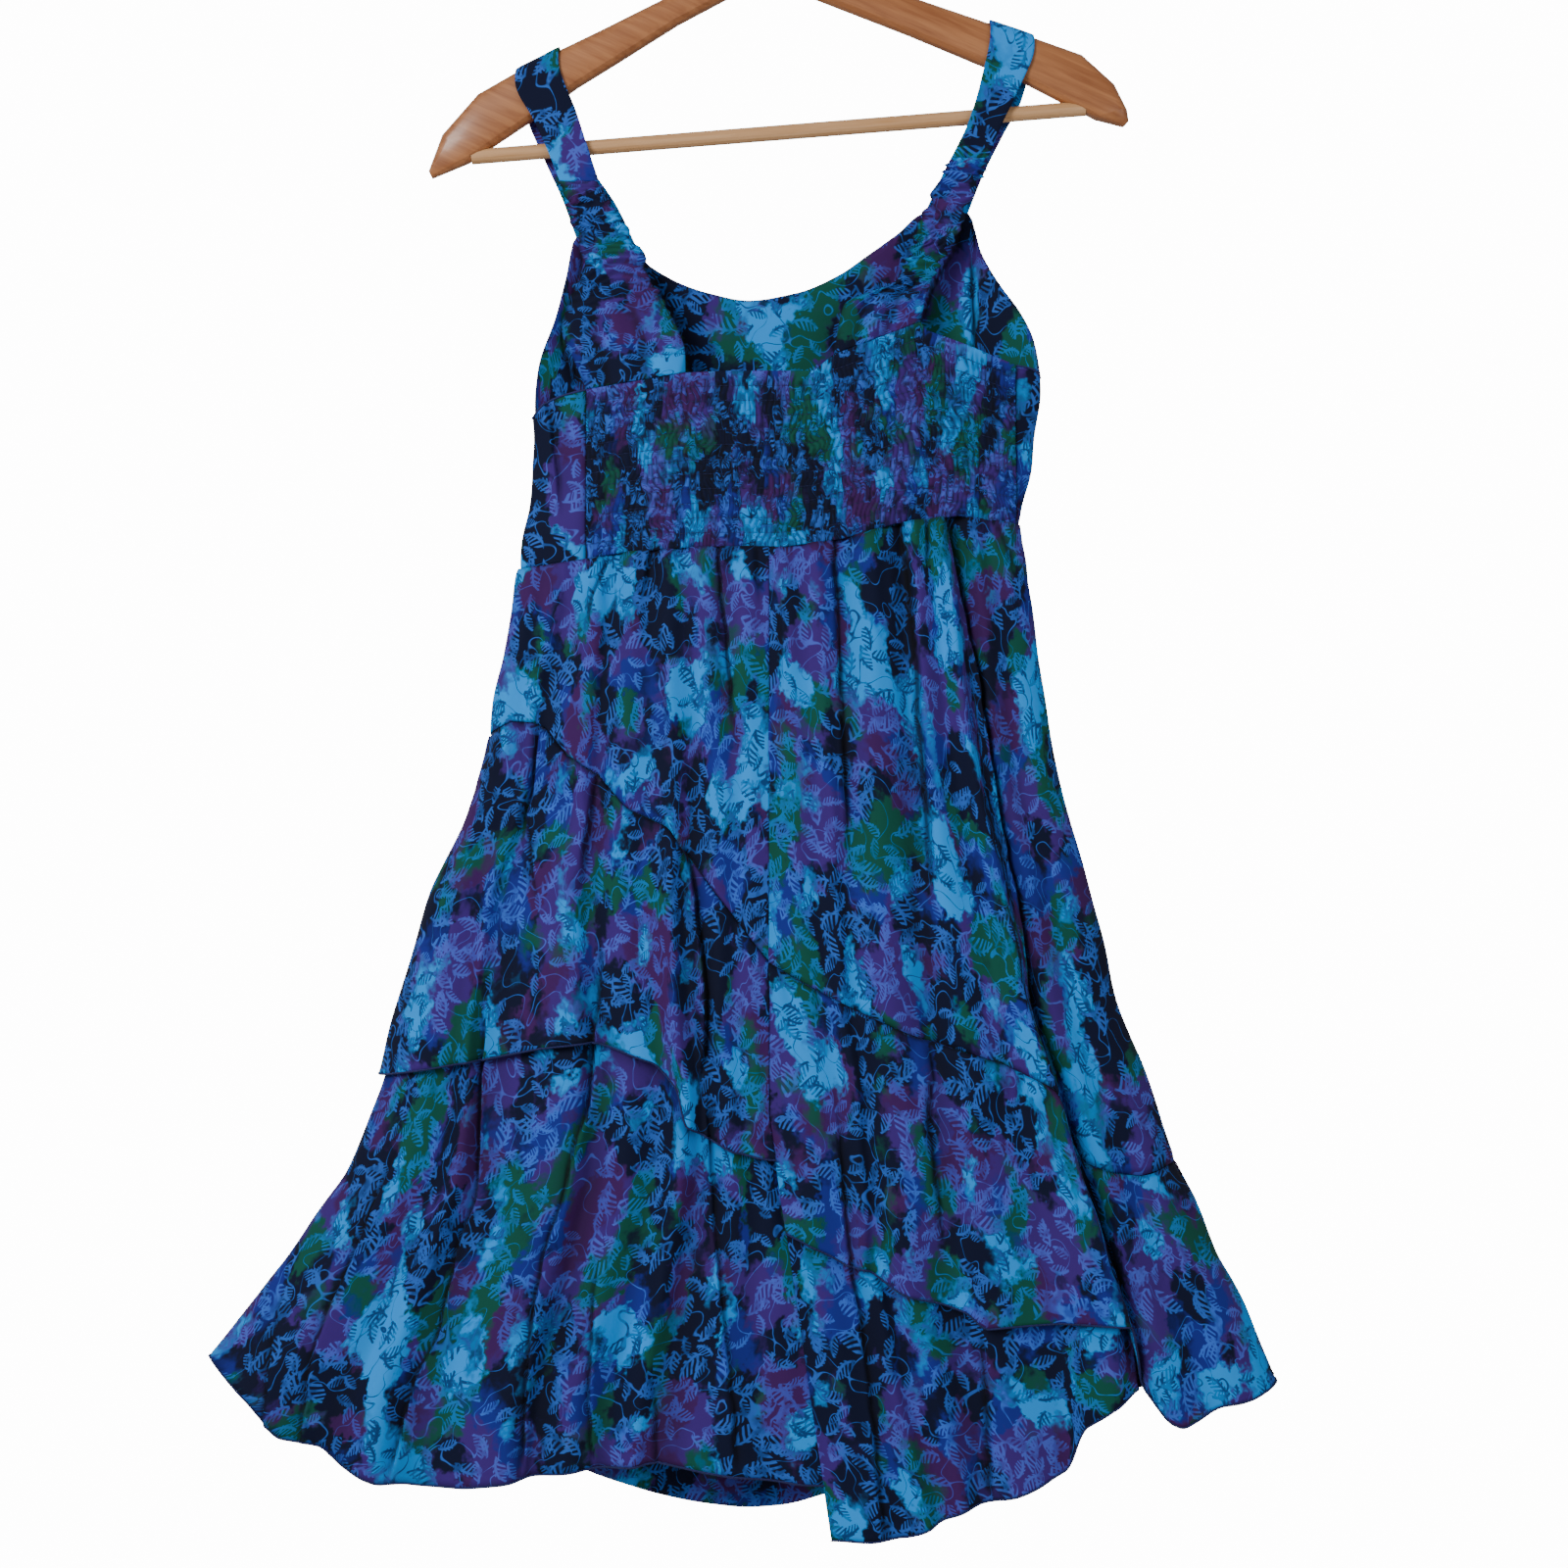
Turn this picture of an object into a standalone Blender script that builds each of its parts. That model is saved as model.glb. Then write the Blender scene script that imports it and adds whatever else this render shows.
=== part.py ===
"""A tiered sundress on a wooden hanger, seen from its shirred back. Metres, +Z up, back of the dress at -Y.

The origin is the inside top of the hanger hook's crook. Heights are given as drops below it.
"""

import math

import bmesh
import bpy
import numpy as np
from mathutils import Vector

# Cloth and seams
WALL = 0.0020
SEAM_GAP = 0.0003
SEAM_TURNING = 0.0030
WIDE_SPAN = 0.030
WIDE_SPAN_SHARES = (0.3, 0.7, 1.0)

# Form of the garment: inside of the cloth at its left and right, and half its depth from back to front
FORM_COLUMNS = ("drop", "left", "right", "half_depth")
FORM = (
    (0.220, -0.139, 0.181, 0.012),
    (0.337, -0.139, 0.182, 0.014),
    (0.364, -0.139, 0.179, 0.014),
    (0.395, -0.139, 0.175, 0.014),
    (0.420, -0.143, 0.170, 0.015),
    (0.435, -0.146, 0.168, 0.015),
    (0.458, -0.149, 0.171, 0.016),
    (0.486, -0.153, 0.176, 0.018),
    (0.514, -0.158, 0.179, 0.020),
    (0.540, -0.164, 0.183, 0.022),
    (0.567, -0.167, 0.187, 0.024),
    (0.595, -0.174, 0.193, 0.026),
    (0.617, -0.181, 0.199, 0.027),
    (0.643, -0.194, 0.207, 0.029),
    (0.665, -0.204, 0.213, 0.031),
    (0.699, -0.213, 0.222, 0.033),
    (0.729, -0.222, 0.228, 0.035),
    (0.753, -0.229, 0.237, 0.036),
    (0.779, -0.235, 0.248, 0.038),
    (0.814, -0.248, 0.259, 0.040),
    (0.840, -0.259, 0.269, 0.041),
    (0.864, -0.276, 0.281, 0.042),
    (0.893, -0.296, 0.292, 0.043),
    (0.924, -0.320, 0.309, 0.045),
    (0.944, -0.336, 0.317, 0.045),
    (0.964, -0.352, 0.325, 0.046),
    (1.020, -0.387, 0.348, 0.047),
    (1.070, -0.412, 0.361, 0.048),
)

# Edges and seams of the skirt: x and drop, left to right
EMPIRE_BACK = (
    (-0.151, 0.458), (-0.118, 0.454), (-0.080, 0.448), (-0.035, 0.445), (0.019, 0.445),
    (0.055, 0.440), (0.090, 0.430), (0.129, 0.425), (0.170, 0.430),
)
EMPIRE_FRONT = ((-0.151, 0.458), (-0.080, 0.453), (0.010, 0.447), (0.100, 0.438), (0.170, 0.430))
SEAM_BACK = (
    (-0.168, 0.563), (-0.152, 0.555), (-0.138, 0.556), (-0.131, 0.560), (-0.117, 0.576),
    (-0.098, 0.589), (-0.079, 0.610), (-0.068, 0.615), (-0.053, 0.622), (-0.041, 0.640),
    (0.010, 0.706), (0.034, 0.720), (0.069, 0.738), (0.100, 0.752), (0.114, 0.756),
    (0.155, 0.769), (0.187, 0.785), (0.207, 0.832), (0.224, 0.838), (0.242, 0.841), (0.267, 0.834),
)
SEAM_FRONT = ((-0.168, 0.563), (-0.100, 0.595), (0.010, 0.685), (0.120, 0.770), (0.200, 0.815), (0.267, 0.834))
FLOUNCE_HEM_BACK_LEFT = (
    (-0.233, 0.779), (-0.200, 0.773), (-0.168, 0.767), (-0.131, 0.759), (-0.098, 0.755),
    (-0.085, 0.759), (-0.060, 0.768), (-0.046, 0.784), (-0.042, 0.805), (-0.026, 0.815),
    (-0.012, 0.822), (0.010, 0.827),
)
FLOUNCE_HEM_BACK_RIGHT = (
    (0.010, 0.868), (0.029, 0.876), (0.045, 0.884), (0.059, 0.892), (0.072, 0.895),
    (0.091, 0.909), (0.120, 0.917), (0.134, 0.922), (0.140, 0.931), (0.191, 0.929),
    (0.233, 0.931), (0.242, 0.970), (0.256, 0.991), (0.265, 0.995), (0.277, 0.991),
    (0.290, 0.984), (0.306, 0.982), (0.330, 0.972),
)
FLOUNCE_HEM_FRONT = (
    (-0.233, 0.779), (-0.100, 0.790), (0.010, 0.835), (0.120, 0.890), (0.220, 0.940), (0.330, 0.972),
)
HEM_BACK_LEFT = (
    (-0.348, 0.958), (-0.314, 0.982), (-0.296, 1.002), (-0.270, 1.008), (-0.258, 1.018),
    (-0.232, 1.029), (-0.206, 1.030), (-0.179, 1.030), (-0.146, 1.025), (-0.116, 1.020),
    (-0.098, 1.018), (-0.062, 1.014), (-0.031, 1.019), (-0.001, 1.023), (0.049, 1.029),
)
HEM_BACK_RIGHT = (
    (0.049, 1.062), (0.077, 1.062), (0.096, 1.060), (0.109, 1.055), (0.132, 1.043),
    (0.149, 1.039), (0.160, 1.037), (0.179, 1.030), (0.197, 1.020), (0.204, 0.996),
    (0.222, 0.984), (0.242, 0.972), (0.269, 0.971), (0.300, 0.968), (0.330, 0.960),
)
HEM_FRONT = (
    (-0.348, 0.958), (-0.293, 0.989), (-0.231, 1.014), (-0.181, 1.021), (-0.146, 1.026),
    (-0.131, 1.035), (-0.106, 1.047), (-0.068, 1.062), (-0.043, 1.068), (-0.006, 1.070),
    (0.025, 1.069), (0.050, 1.062), (0.082, 1.054), (0.132, 1.035), (0.179, 1.020),
    (0.195, 1.006), (0.210, 1.001), (0.222, 0.991), (0.242, 0.967), (0.269, 0.964),
    (0.300, 0.962), (0.330, 0.960),
)

# Centre back seam: drop and x
CENTRE_SEAM = ((0.400, 0.0096), (0.800, 0.0096), (1.062, 0.0485))
CENTRE_SEAM_HALF_GAP = 0.0002

# Folds: one crest or trough a row, where it crosses each seam and hem, and how far the cloth stands out there
FOLD_COLUMNS = (
    "empire_x", "seam_x", "flounce_x", "hem_x", "empire_out", "seam_out", "flounce_out", "hem_out",
)
FOLDS_BACK_LEFT = (
    (-0.149, -0.168, -0.235, -0.348, 0.0000, 0.0000, 0.0000, 0.0000),
    (-0.140, -0.159, -0.203, -0.306, 0.0015, 0.0030, 0.0050, 0.0070),
    (-0.131, -0.148, -0.186, -0.265, 0.0000, 0.0000, -0.001, -0.002),
    (-0.121, -0.140, -0.177, -0.240, 0.0020, 0.0030, 0.0050, 0.0060),
    (-0.113, -0.132, -0.168, -0.215, 0.0000, -0.001, -0.002, -0.003),
    (-0.098, -0.107, -0.108, -0.153, 0.0025, 0.0040, 0.0060, 0.0080),
    (-0.089, -0.098, -0.093, -0.137, -0.001, -0.002, -0.003, -0.004),
    (-0.078, -0.081, -0.071, -0.115, 0.0020, 0.0030, 0.0040, 0.0050),
    (-0.067, -0.068, -0.054, -0.096, -0.001, 0.0000, 0.0000, -0.003),
    (-0.056, -0.050, -0.040, -0.075, 0.0015, 0.0040, 0.0060, 0.0060),
    (-0.043, -0.040, -0.030, -0.059, 0.0000, -0.003, -0.004, -0.003),
    (-0.031, -0.023, -0.015, -0.015, 0.0020, 0.0030, 0.0040, 0.0040),
    (-0.020, -0.011, -0.005, 0.0100, -0.0015, -0.0005, 0.0000, 0.0000),
    (-0.006, -0.001, 0.0030, 0.0290, 0.0015, 0.0020, 0.0020, 0.0030),
    (0.0096, 0.0096, 0.0136, 0.0437, 0.0000, 0.0000, 0.0000, 0.0000),
)
FOLDS_BACK_RIGHT = (
    (0.0096, 0.0096, 0.0197, 0.0485, 0.0000, 0.0000, 0.0000, 0.0000),
    (0.0190, 0.0320, 0.0350, 0.0720, 0.0015, 0.0025, 0.0040, 0.0050),
    (0.0290, 0.0450, 0.0520, 0.0910, 0.0000, 0.0000, 0.0000, 0.0000),
    (0.0390, 0.0550, 0.0670, 0.1070, 0.0020, 0.0035, 0.0040, 0.0050),
    (0.0500, 0.0620, 0.0750, 0.1170, -0.002, -0.001, -0.001, -0.001),
    (0.0720, 0.0850, 0.0950, 0.1300, 0.0025, 0.0040, 0.0050, 0.0060),
    (0.0920, 0.1100, 0.1160, 0.1440, -0.003, -0.003, -0.002, -0.002),
    (0.1020, 0.1350, 0.1440, 0.1660, 0.0040, 0.0040, 0.0040, 0.0050),
    (0.1100, 0.1630, 0.1820, 0.1910, 0.0000, 0.0000, 0.0000, -0.001),
    (0.1180, 0.1830, 0.2280, 0.2220, 0.0040, 0.0070, 0.0090, 0.0080),
    (0.1270, 0.2020, 0.2420, 0.2430, -0.004, -0.004, -0.004, -0.004),
    (0.1380, 0.2190, 0.2630, 0.2660, 0.0030, 0.0040, 0.0050, 0.0050),
    (0.1480, 0.2350, 0.2850, 0.2870, 0.0000, 0.0000, 0.0000, 0.0000),
    (0.1580, 0.2490, 0.3050, 0.3080, 0.0020, 0.0030, 0.0030, 0.0030),
    (0.1690, 0.2670, 0.3280, 0.3240, 0.0000, 0.0000, 0.0000, 0.0000),
)
FOLDS_FRONT = (
    (-0.149, -0.168, -0.235, -0.348, 0.0000, 0.0000, 0.0000, 0.0000),
    (-0.121, -0.131, -0.181, -0.275, 0.0020, 0.0030, 0.0040, 0.0050),
    (-0.100, -0.106, -0.143, -0.231, 0.0000, -0.001, -0.001, -0.002),
    (-0.078, -0.081, -0.106, -0.168, 0.0020, 0.0030, 0.0050, 0.0060),
    (-0.050, -0.050, -0.068, -0.112, -0.001, -0.001, -0.002, -0.003),
    (-0.025, -0.022, -0.031, -0.056, 0.0020, 0.0030, 0.0040, 0.0050),
    (0.0000, 0.0100, 0.0100, -0.006, 0.0000, -0.001, -0.002, -0.002),
    (0.0250, 0.0410, 0.0500, 0.0500, 0.0020, 0.0030, 0.0050, 0.0060),
    (0.0500, 0.0720, 0.0880, 0.1000, -0.001, -0.001, -0.002, -0.003),
    (0.0750, 0.1070, 0.1320, 0.1440, 0.0020, 0.0030, 0.0050, 0.0060),
    (0.1030, 0.1440, 0.1750, 0.1820, -0.001, -0.002, -0.002, -0.003),
    (0.1290, 0.1820, 0.2250, 0.2190, 0.0020, 0.0040, 0.0050, 0.0060),
    (0.1470, 0.2130, 0.2690, 0.2630, 0.0000, 0.0000, 0.0000, 0.0000),
    (0.1600, 0.2410, 0.3000, 0.2970, 0.0015, 0.0020, 0.0030, 0.0030),
    (0.1690, 0.2670, 0.3280, 0.3240, 0.0000, 0.0000, 0.0000, 0.0000),
)
UPPER_ROWS = 8
FLOUNCE_ROWS = 5
COVERED_SHARE = 0.8
LOWER_ROWS = 5
FLOUNCE_LIFT = 0.0045
FLOUNCE_SIDE_LIFT = 0.0020

# Shirred back panel
PANEL_LEFT = -0.106
PANEL_RIGHT = 0.166
PANEL_TOP = (
    (-0.106, 0.345), (-0.043, 0.335), (-0.018, 0.334), (0.010, 0.334), (0.038, 0.334),
    (0.050, 0.324), (0.105, 0.303), (0.109, 0.308), (0.135, 0.317), (0.150, 0.323), (0.166, 0.329),
)
GATHERS = 36
ELASTIC_ROWS = 10
GATHER_HEIGHT = 0.0014
ELASTIC_SHARE = 0.3
PANEL_INSIDE_ROWS = 4

# Front bodice: x and drop of its upper edge, from the left side seam round the front to the right one
BODICE_WRAP_LEFT = ((-0.106, 0.345), (-0.128, 0.351))
BODICE_UNDERARM_LEFT = 0.362
BODICE_TOP_FRONT = (
    (-0.1375, 0.333), (-0.127, 0.298), (-0.120, 0.271), (-0.114, 0.245), (-0.092, 0.2525),
    (-0.071, 0.260), (-0.060, 0.267), (-0.046, 0.274), (-0.031, 0.279), (-0.004, 0.284),
    (0.028, 0.279), (0.056, 0.267), (0.072, 0.256), (0.092, 0.242), (0.109, 0.229),
    (0.137, 0.229), (0.145, 0.254), (0.157, 0.275), (0.169, 0.292), (0.177, 0.308),
)
BODICE_UNDERARM_RIGHT = 0.336
BODICE_WRAP_RIGHT = ((0.177, 0.331), (0.166, 0.329))
BODICE_ROWS = 6

# Straps: one cross section a row. Facing 0 looks up, -90 to the back, 90 to the front.
STRAP_COLUMNS = ("left_x", "left_drop", "right_x", "right_drop", "depth", "facing", "on_form")
STRAP_WALL = 0.0016
STRAP_ACROSS = 5
BACK_SIDE = -90.0
FAR_SIDE = 90.0
LEFT_STRAP_BACK = (
    (-0.123, 0.2130, -0.098, 0.2130, -0.0082, BACK_SIDE, 0.0),
    (-0.130, 0.1950, -0.104, 0.1950, -0.0078, BACK_SIDE, 0.0),
    (-0.139, 0.1750, -0.112, 0.1700, -0.0075, BACK_SIDE, 0.0),
)
LEFT_STRAP_FRONT = (
    (-0.146, 0.1680, -0.119, 0.1560, 0.0075, FAR_SIDE, 0.0),
    (-0.134, 0.1960, -0.106, 0.1960, 0.0082, FAR_SIDE, 0.1),
    (-0.123, 0.2200, -0.088, 0.2240, 0.0092, FAR_SIDE, 0.4),
    (-0.114, 0.2447, -0.071, 0.2597, 0.0100, FAR_SIDE, 1.0),
)
LEFT_STRAP_TOP = (-0.1515, -0.1240)
RIGHT_STRAP_BACK = (
    (0.125, 0.1980, 0.1485, 0.1980, -0.0082, BACK_SIDE, 0.0),
    (0.136, 0.1750, 0.1580, 0.1750, -0.0078, BACK_SIDE, 0.0),
    (0.144, 0.1480, 0.1690, 0.1520, -0.0075, BACK_SIDE, 0.0),
)
RIGHT_STRAP_FRONT = (
    (0.146, 0.1510, 0.172, 0.1550, 0.0075, FAR_SIDE, 0.0),
    (0.135, 0.1760, 0.160, 0.1780, 0.0080, FAR_SIDE, 0.1),
    (0.121, 0.2030, 0.147, 0.2040, 0.0090, FAR_SIDE, 0.4),
    (0.109, 0.2287, 0.137, 0.2287, 0.0100, FAR_SIDE, 1.0),
)
RIGHT_STRAP_TOP = (0.1500, 0.1780)
STRAP_ARC_STEPS = 6
STRAP_CLEARANCE = 0.0007
LEFT_EAR = (
    (-0.1230, 0.2133, -0.0980, 0.2133, -0.0082, BACK_SIDE, 0.0),
    (-0.1180, 0.2290, -0.0890, 0.2290, -0.0086, BACK_SIDE, 0.1),
    (-0.1134, 0.2420, -0.0815, 0.2420, -0.0090, BACK_SIDE, 0.2),
    (-0.1080, 0.2586, -0.0715, 0.2586, -0.0095, BACK_SIDE, 0.4),
    (-0.1146, 0.2823, -0.0610, 0.2823, -0.0095, BACK_SIDE, 0.7),
    (-0.1215, 0.3067, -0.0484, 0.3067, -0.0095, BACK_SIDE, 0.9),
    (-0.1134, 0.3270, -0.0434, 0.3220, -0.0095, BACK_SIDE, 1.0),
    (-0.1060, 0.3447, -0.0430, 0.3347, -0.0095, BACK_SIDE, 1.0),
)
RIGHT_EAR = (
    (0.1250, 0.1983, 0.1485, 0.1983, -0.0082, BACK_SIDE, 0.0),
    (0.1190, 0.2104, 0.1440, 0.2104, -0.0085, BACK_SIDE, 0.1),
    (0.1100, 0.2290, 0.1347, 0.2290, -0.0090, BACK_SIDE, 0.2),
    (0.1050, 0.2420, 0.1300, 0.2420, -0.0095, BACK_SIDE, 0.4),
    (0.0990, 0.2586, 0.1210, 0.2586, -0.0100, BACK_SIDE, 0.7),
    (0.0900, 0.2760, 0.1130, 0.2760, -0.0100, BACK_SIDE, 0.9),
    (0.0570, 0.2925, 0.1100, 0.2830, -0.0100, BACK_SIDE, 1.0),
    (0.0505, 0.3237, 0.1050, 0.3027, -0.0100, BACK_SIDE, 1.0),
)
RUCHE_PITCH = 0.0040
RUCHE_HEIGHT = 0.0014
RUCHED_SHARE = 0.62

# Hanger: upper and lower edge of its arms in the hanger's plane, left tip to right tip
ARM_COLUMNS = ("top_x", "top_drop", "low_x", "low_drop")
ARMS = (
    (-0.2075, 0.2040, -0.2050, 0.2090),
    (-0.1990, 0.1810, -0.1810, 0.1990),
    (-0.1760, 0.1550, -0.1620, 0.1860),
    (-0.1515, 0.1410, -0.1380, 0.1700),
    (-0.1240, 0.1270, -0.1120, 0.1510),
    (-0.0970, 0.1140, -0.0860, 0.1350),
    (-0.0590, 0.0950, -0.0480, 0.1110),
    (0.0050, 0.0620, 0.0065, 0.0820),
    (0.1060, 0.0950, 0.0990, 0.1180),
    (0.1500, 0.1100, 0.1420, 0.1360),
    (0.1780, 0.1190, 0.1700, 0.1470),
    (0.2090, 0.1300, 0.1930, 0.1590),
    (0.2300, 0.1490, 0.2050, 0.1650),
    (0.2380, 0.1650, 0.2170, 0.1710),
    (0.2390, 0.1720, 0.2350, 0.1760),
)
ARM_HALF_THICKNESS = 0.0065
ARM_TIP_THICKNESS = 0.0015
ARM_TIP_TAPER = 0.6
ARM_HALF_ROUND_STEPS = 6
BAR_RADIUS = 0.00475
BAR_LEFT = (-0.1800, 0.1950)
BAR_RIGHT = (0.2110, 0.1640)
BACK_SIDES = 16
SOCKET_DEPTH = 0.0120
HANGER_TILT = math.radians(4.4)
WIRE_RADIUS = 0.0016
WIRE_SIDES = 8
CROOK_RADIUS = 0.022
CROOK_START = math.radians(-50.0)
CROOK_END = math.radians(205.0)
CROOK_STEPS = 18
STEM_TOP = 0.050
STEM_FOOT = 0.073
STEM_CURVE_STEPS = 5
STEM_CURVE_PULL = 0.45

COTTON_BLUE = (0.035, 0.070, 0.260, 1.0)
COTTON_TEAL = (0.020, 0.110, 0.190, 1.0)
COTTON_VIOLET = (0.070, 0.040, 0.210, 1.0)
BEECH = (0.580, 0.250, 0.080, 1.0)
PINE = (0.700, 0.450, 0.190, 1.0)
STEEL = (0.550, 0.550, 0.560, 1.0)


def clear_scene():
    for obj in list(bpy.data.objects):
        bpy.data.objects.remove(obj, do_unlink=True)


def lerp(start, end, share):
    return start + (end - start) * share


def eased(share):
    return share * share * (3.0 - 2.0 * share)


def read_curve(points, x):
    return float(np.interp(x, [point[0] for point in points], [point[1] for point in points]))


def form_at(drop):
    """Left, right and half depth of the garment's form."""
    table = dict(zip(FORM_COLUMNS, zip(*FORM)))
    return [float(np.interp(drop, table["drop"], table[key])) for key in FORM_COLUMNS[1:]]


def angle_of(x, drop, side):
    """Angle round the form: 0 at its left, pi at its right, back first and then the front."""
    left, right, _ = form_at(drop)
    share = min(max((x - left) / (right - left), 0.0), 1.0)
    angle = math.acos(1.0 - 2.0 * share)
    return angle if side < 0 else 2.0 * math.pi - angle


def outward(angle, drop):
    left, right, half_depth = form_at(drop)
    half_width = (right - left) / 2.0
    return Vector((-math.cos(angle) * half_depth, -math.sin(angle) * half_width, 0.0)).normalized()


def on_form(angle, drop, out, side_shift=0.0):
    left, right, half_depth = form_at(drop)
    half_width = (right - left) / 2.0
    x = (left + right) / 2.0 - half_width * math.cos(angle)
    y = -half_depth * math.sin(angle) + side_shift
    return Vector((x, y, -drop)) + outward(angle, drop) * out


def material(name, colour, roughness, metallic):
    made = bpy.data.materials.new(name)
    made.use_nodes = True
    shader = made.node_tree.nodes["Principled BSDF"]
    shader.inputs["Base Color"].default_value = colour
    shader.inputs["Roughness"].default_value = roughness
    shader.inputs["Metallic"].default_value = metallic
    return made


def stitch(a, b):
    """Triangles between two rows of vertices that may differ in number."""
    faces = []
    i = 0
    j = 0
    while i < len(a) - 1 or j < len(b) - 1:
        next_a = (i + 1) / (len(a) - 1)
        next_b = (j + 1) / (len(b) - 1)
        if i < len(a) - 1 and (next_a <= next_b or j == len(b) - 1):
            faces.append((a[i], a[i + 1], b[j]))
            i += 1
        else:
            faces.append((a[i], b[j + 1], b[j]))
            j += 1
    return faces


def add_object(name, points, faces, made_material, sharp=60.0):
    mesh = bpy.data.meshes.new(name)
    mesh.from_pydata([tuple(point) for point in points], [], faces)
    body = bmesh.new()
    body.from_mesh(mesh)
    bmesh.ops.recalc_face_normals(body, faces=body.faces[:])
    if body.calc_volume(signed=True) < 0.0:
        bmesh.ops.reverse_faces(body, faces=body.faces[:])
    body.to_mesh(mesh)
    body.free()
    mesh.shade_smooth()
    mesh.set_sharp_from_angle(angle=math.radians(sharp))
    mesh.materials.append(made_material)
    obj = bpy.data.objects.new(name, mesh)
    bpy.context.scene.collection.objects.link(obj)
    return obj


def grid_faces(start, rows, columns):
    faces = []
    for i in range(rows - 1):
        for j in range(columns - 1):
            a = start + i * columns + j
            faces.append((a, a + 1, a + columns + 1))
            faces.append((a, a + columns + 1, a + columns))
    return faces


def shell(name, inside, outside, made_material):
    """A closed wall between two sheets of points, row by row, whose rims are stitched together."""
    points = [point for row in inside for point in row]
    first_outside = len(points)
    points += [point for row in outside for point in row]
    inside_rows, inside_columns = len(inside), len(inside[0])
    outside_rows, outside_columns = len(outside), len(outside[0])
    faces = [face[::-1] for face in grid_faces(0, inside_rows, inside_columns)]
    faces += grid_faces(first_outside, outside_rows, outside_columns)
    inside_index = np.arange(first_outside).reshape(inside_rows, inside_columns)
    outside_index = np.arange(first_outside, len(points)).reshape(outside_rows, outside_columns)
    rims = (
        (inside_index[0, :], outside_index[0, :]),
        (outside_index[-1, :], inside_index[-1, :]),
        (outside_index[:, 0], inside_index[:, 0]),
        (inside_index[:, -1], outside_index[:, -1]),
    )
    for a, b in rims:
        faces += stitch([int(i) for i in a], [int(i) for i in b])
    return add_object(name, points, faces, made_material)


def fold_columns(folds):
    """The fold lines, with two more columns in each wide span so that its cloth is round."""
    columns = [dict(zip(FOLD_COLUMNS, folds[0]))]
    for row, following in zip(folds, folds[1:]):
        start = dict(zip(FOLD_COLUMNS, row))
        end = dict(zip(FOLD_COLUMNS, following))
        wide = max(end["hem_x"] - start["hem_x"], end["flounce_x"] - start["flounce_x"]) > WIDE_SPAN
        for share in WIDE_SPAN_SHARES if wide else (1.0,):
            column = {}
            for key in FOLD_COLUMNS:
                column[key] = lerp(start[key], end[key], share if key.endswith("_x") else eased(share))
            columns.append(column)
    return columns


def placed(columns, side, empire, seam, flounce_hem, hem, at_centre=0):
    """Gives each column its angle and drop where it crosses each edge."""
    if at_centre:
        columns[-1 if at_centre < 0 else 0]["at_centre"] = at_centre
    for column in columns:
        for key, curve in (("empire", empire), ("seam", seam), ("flounce", flounce_hem), ("hem", hem)):
            drop = read_curve(curve, column[key + "_x"])
            column[key + "_drop"] = drop
            column[key + "_angle"] = angle_of(column[key + "_x"], drop, side)
    return columns


def between(column, start, end, share):
    """Angle, drop and fold height part of the way from one edge to the next."""
    return [lerp(column[start + key], column[end + key], share) for key in ("_angle", "_drop", "_out")]


def upper_shares(column):
    """Rows of the upper skirt, the last but one a seam turning above its lower edge."""
    turning = 1.0 - SEAM_TURNING / (column["seam_drop"] - column["empire_drop"])
    return [turning * i / UPPER_ROWS for i in range(UPPER_ROWS + 1)] + [1.0]


def on_centre_seam(column, rows):
    """The same rows, kept beside the centre back seam where the column runs along it."""
    if "at_centre" not in column:
        return rows
    kept = []
    for _, drop, fold, more in rows:
        x = read_curve(CENTRE_SEAM, drop) + column["at_centre"] * CENTRE_SEAM_HALF_GAP
        kept.append((angle_of(x, drop, -1), drop, fold, more))
    return kept


def wall_points(column_rows, side, inside_out, outside_out):
    """Inside and outside sheets from columns of (angle, drop, fold, more out) rows."""
    shift = side * SEAM_GAP / 2.0
    sheets = []
    for out in (inside_out, outside_out):
        rows = []
        for i in range(len(column_rows[0])):
            rows.append([on_form(c[i][0], c[i][1], c[i][2] + c[i][3] + out, shift) for c in column_rows])
        sheets.append(rows)
    return sheets


def upper_skirt(name, columns, side, made_material):
    column_rows = []
    for column in columns:
        rows = []
        for share in upper_shares(column):
            angle, drop, fold = between(column, "empire", "seam", share)
            if share == 0.0:
                drop += SEAM_GAP / 2.0
            if share == 1.0:
                drop -= SEAM_GAP / 2.0
            rows.append((angle, drop, fold, 0.0))
        column_rows.append(on_centre_seam(column, rows))
    inside, outside = wall_points(column_rows, side, 0.0, WALL)
    return shell(name, inside, outside, made_material)


def flounce_point(column, i):
    share = i / FLOUNCE_ROWS * COVERED_SHARE
    angle, drop, fold = between(column, "seam", "flounce", share)
    if i == 0:
        drop += SEAM_GAP / 2.0
    return share, angle, drop, fold


def upper_flounce(name, columns, side, made_material):
    column_rows = []
    last = len(columns) - 1
    for j, column in enumerate(columns):
        at_side = (j == 0 and column["seam_angle"] in (0.0, 2.0 * math.pi)) or (
            j == last and column["seam_angle"] == math.pi
        )
        lift = FLOUNCE_SIDE_LIFT if at_side else FLOUNCE_LIFT
        rows = []
        for i in range(FLOUNCE_ROWS + 1):
            share, angle, drop, fold = flounce_point(column, i)
            rows.append((angle, drop, fold, lift * share))
        angle, drop, fold = between(column, "seam", "flounce", 1.0)
        rows.append((angle, drop, fold, lift))
        column_rows.append(on_centre_seam(column, rows))
    inside, outside = wall_points(column_rows, side, 0.0, WALL)
    return shell(name, inside, outside, made_material)


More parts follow.
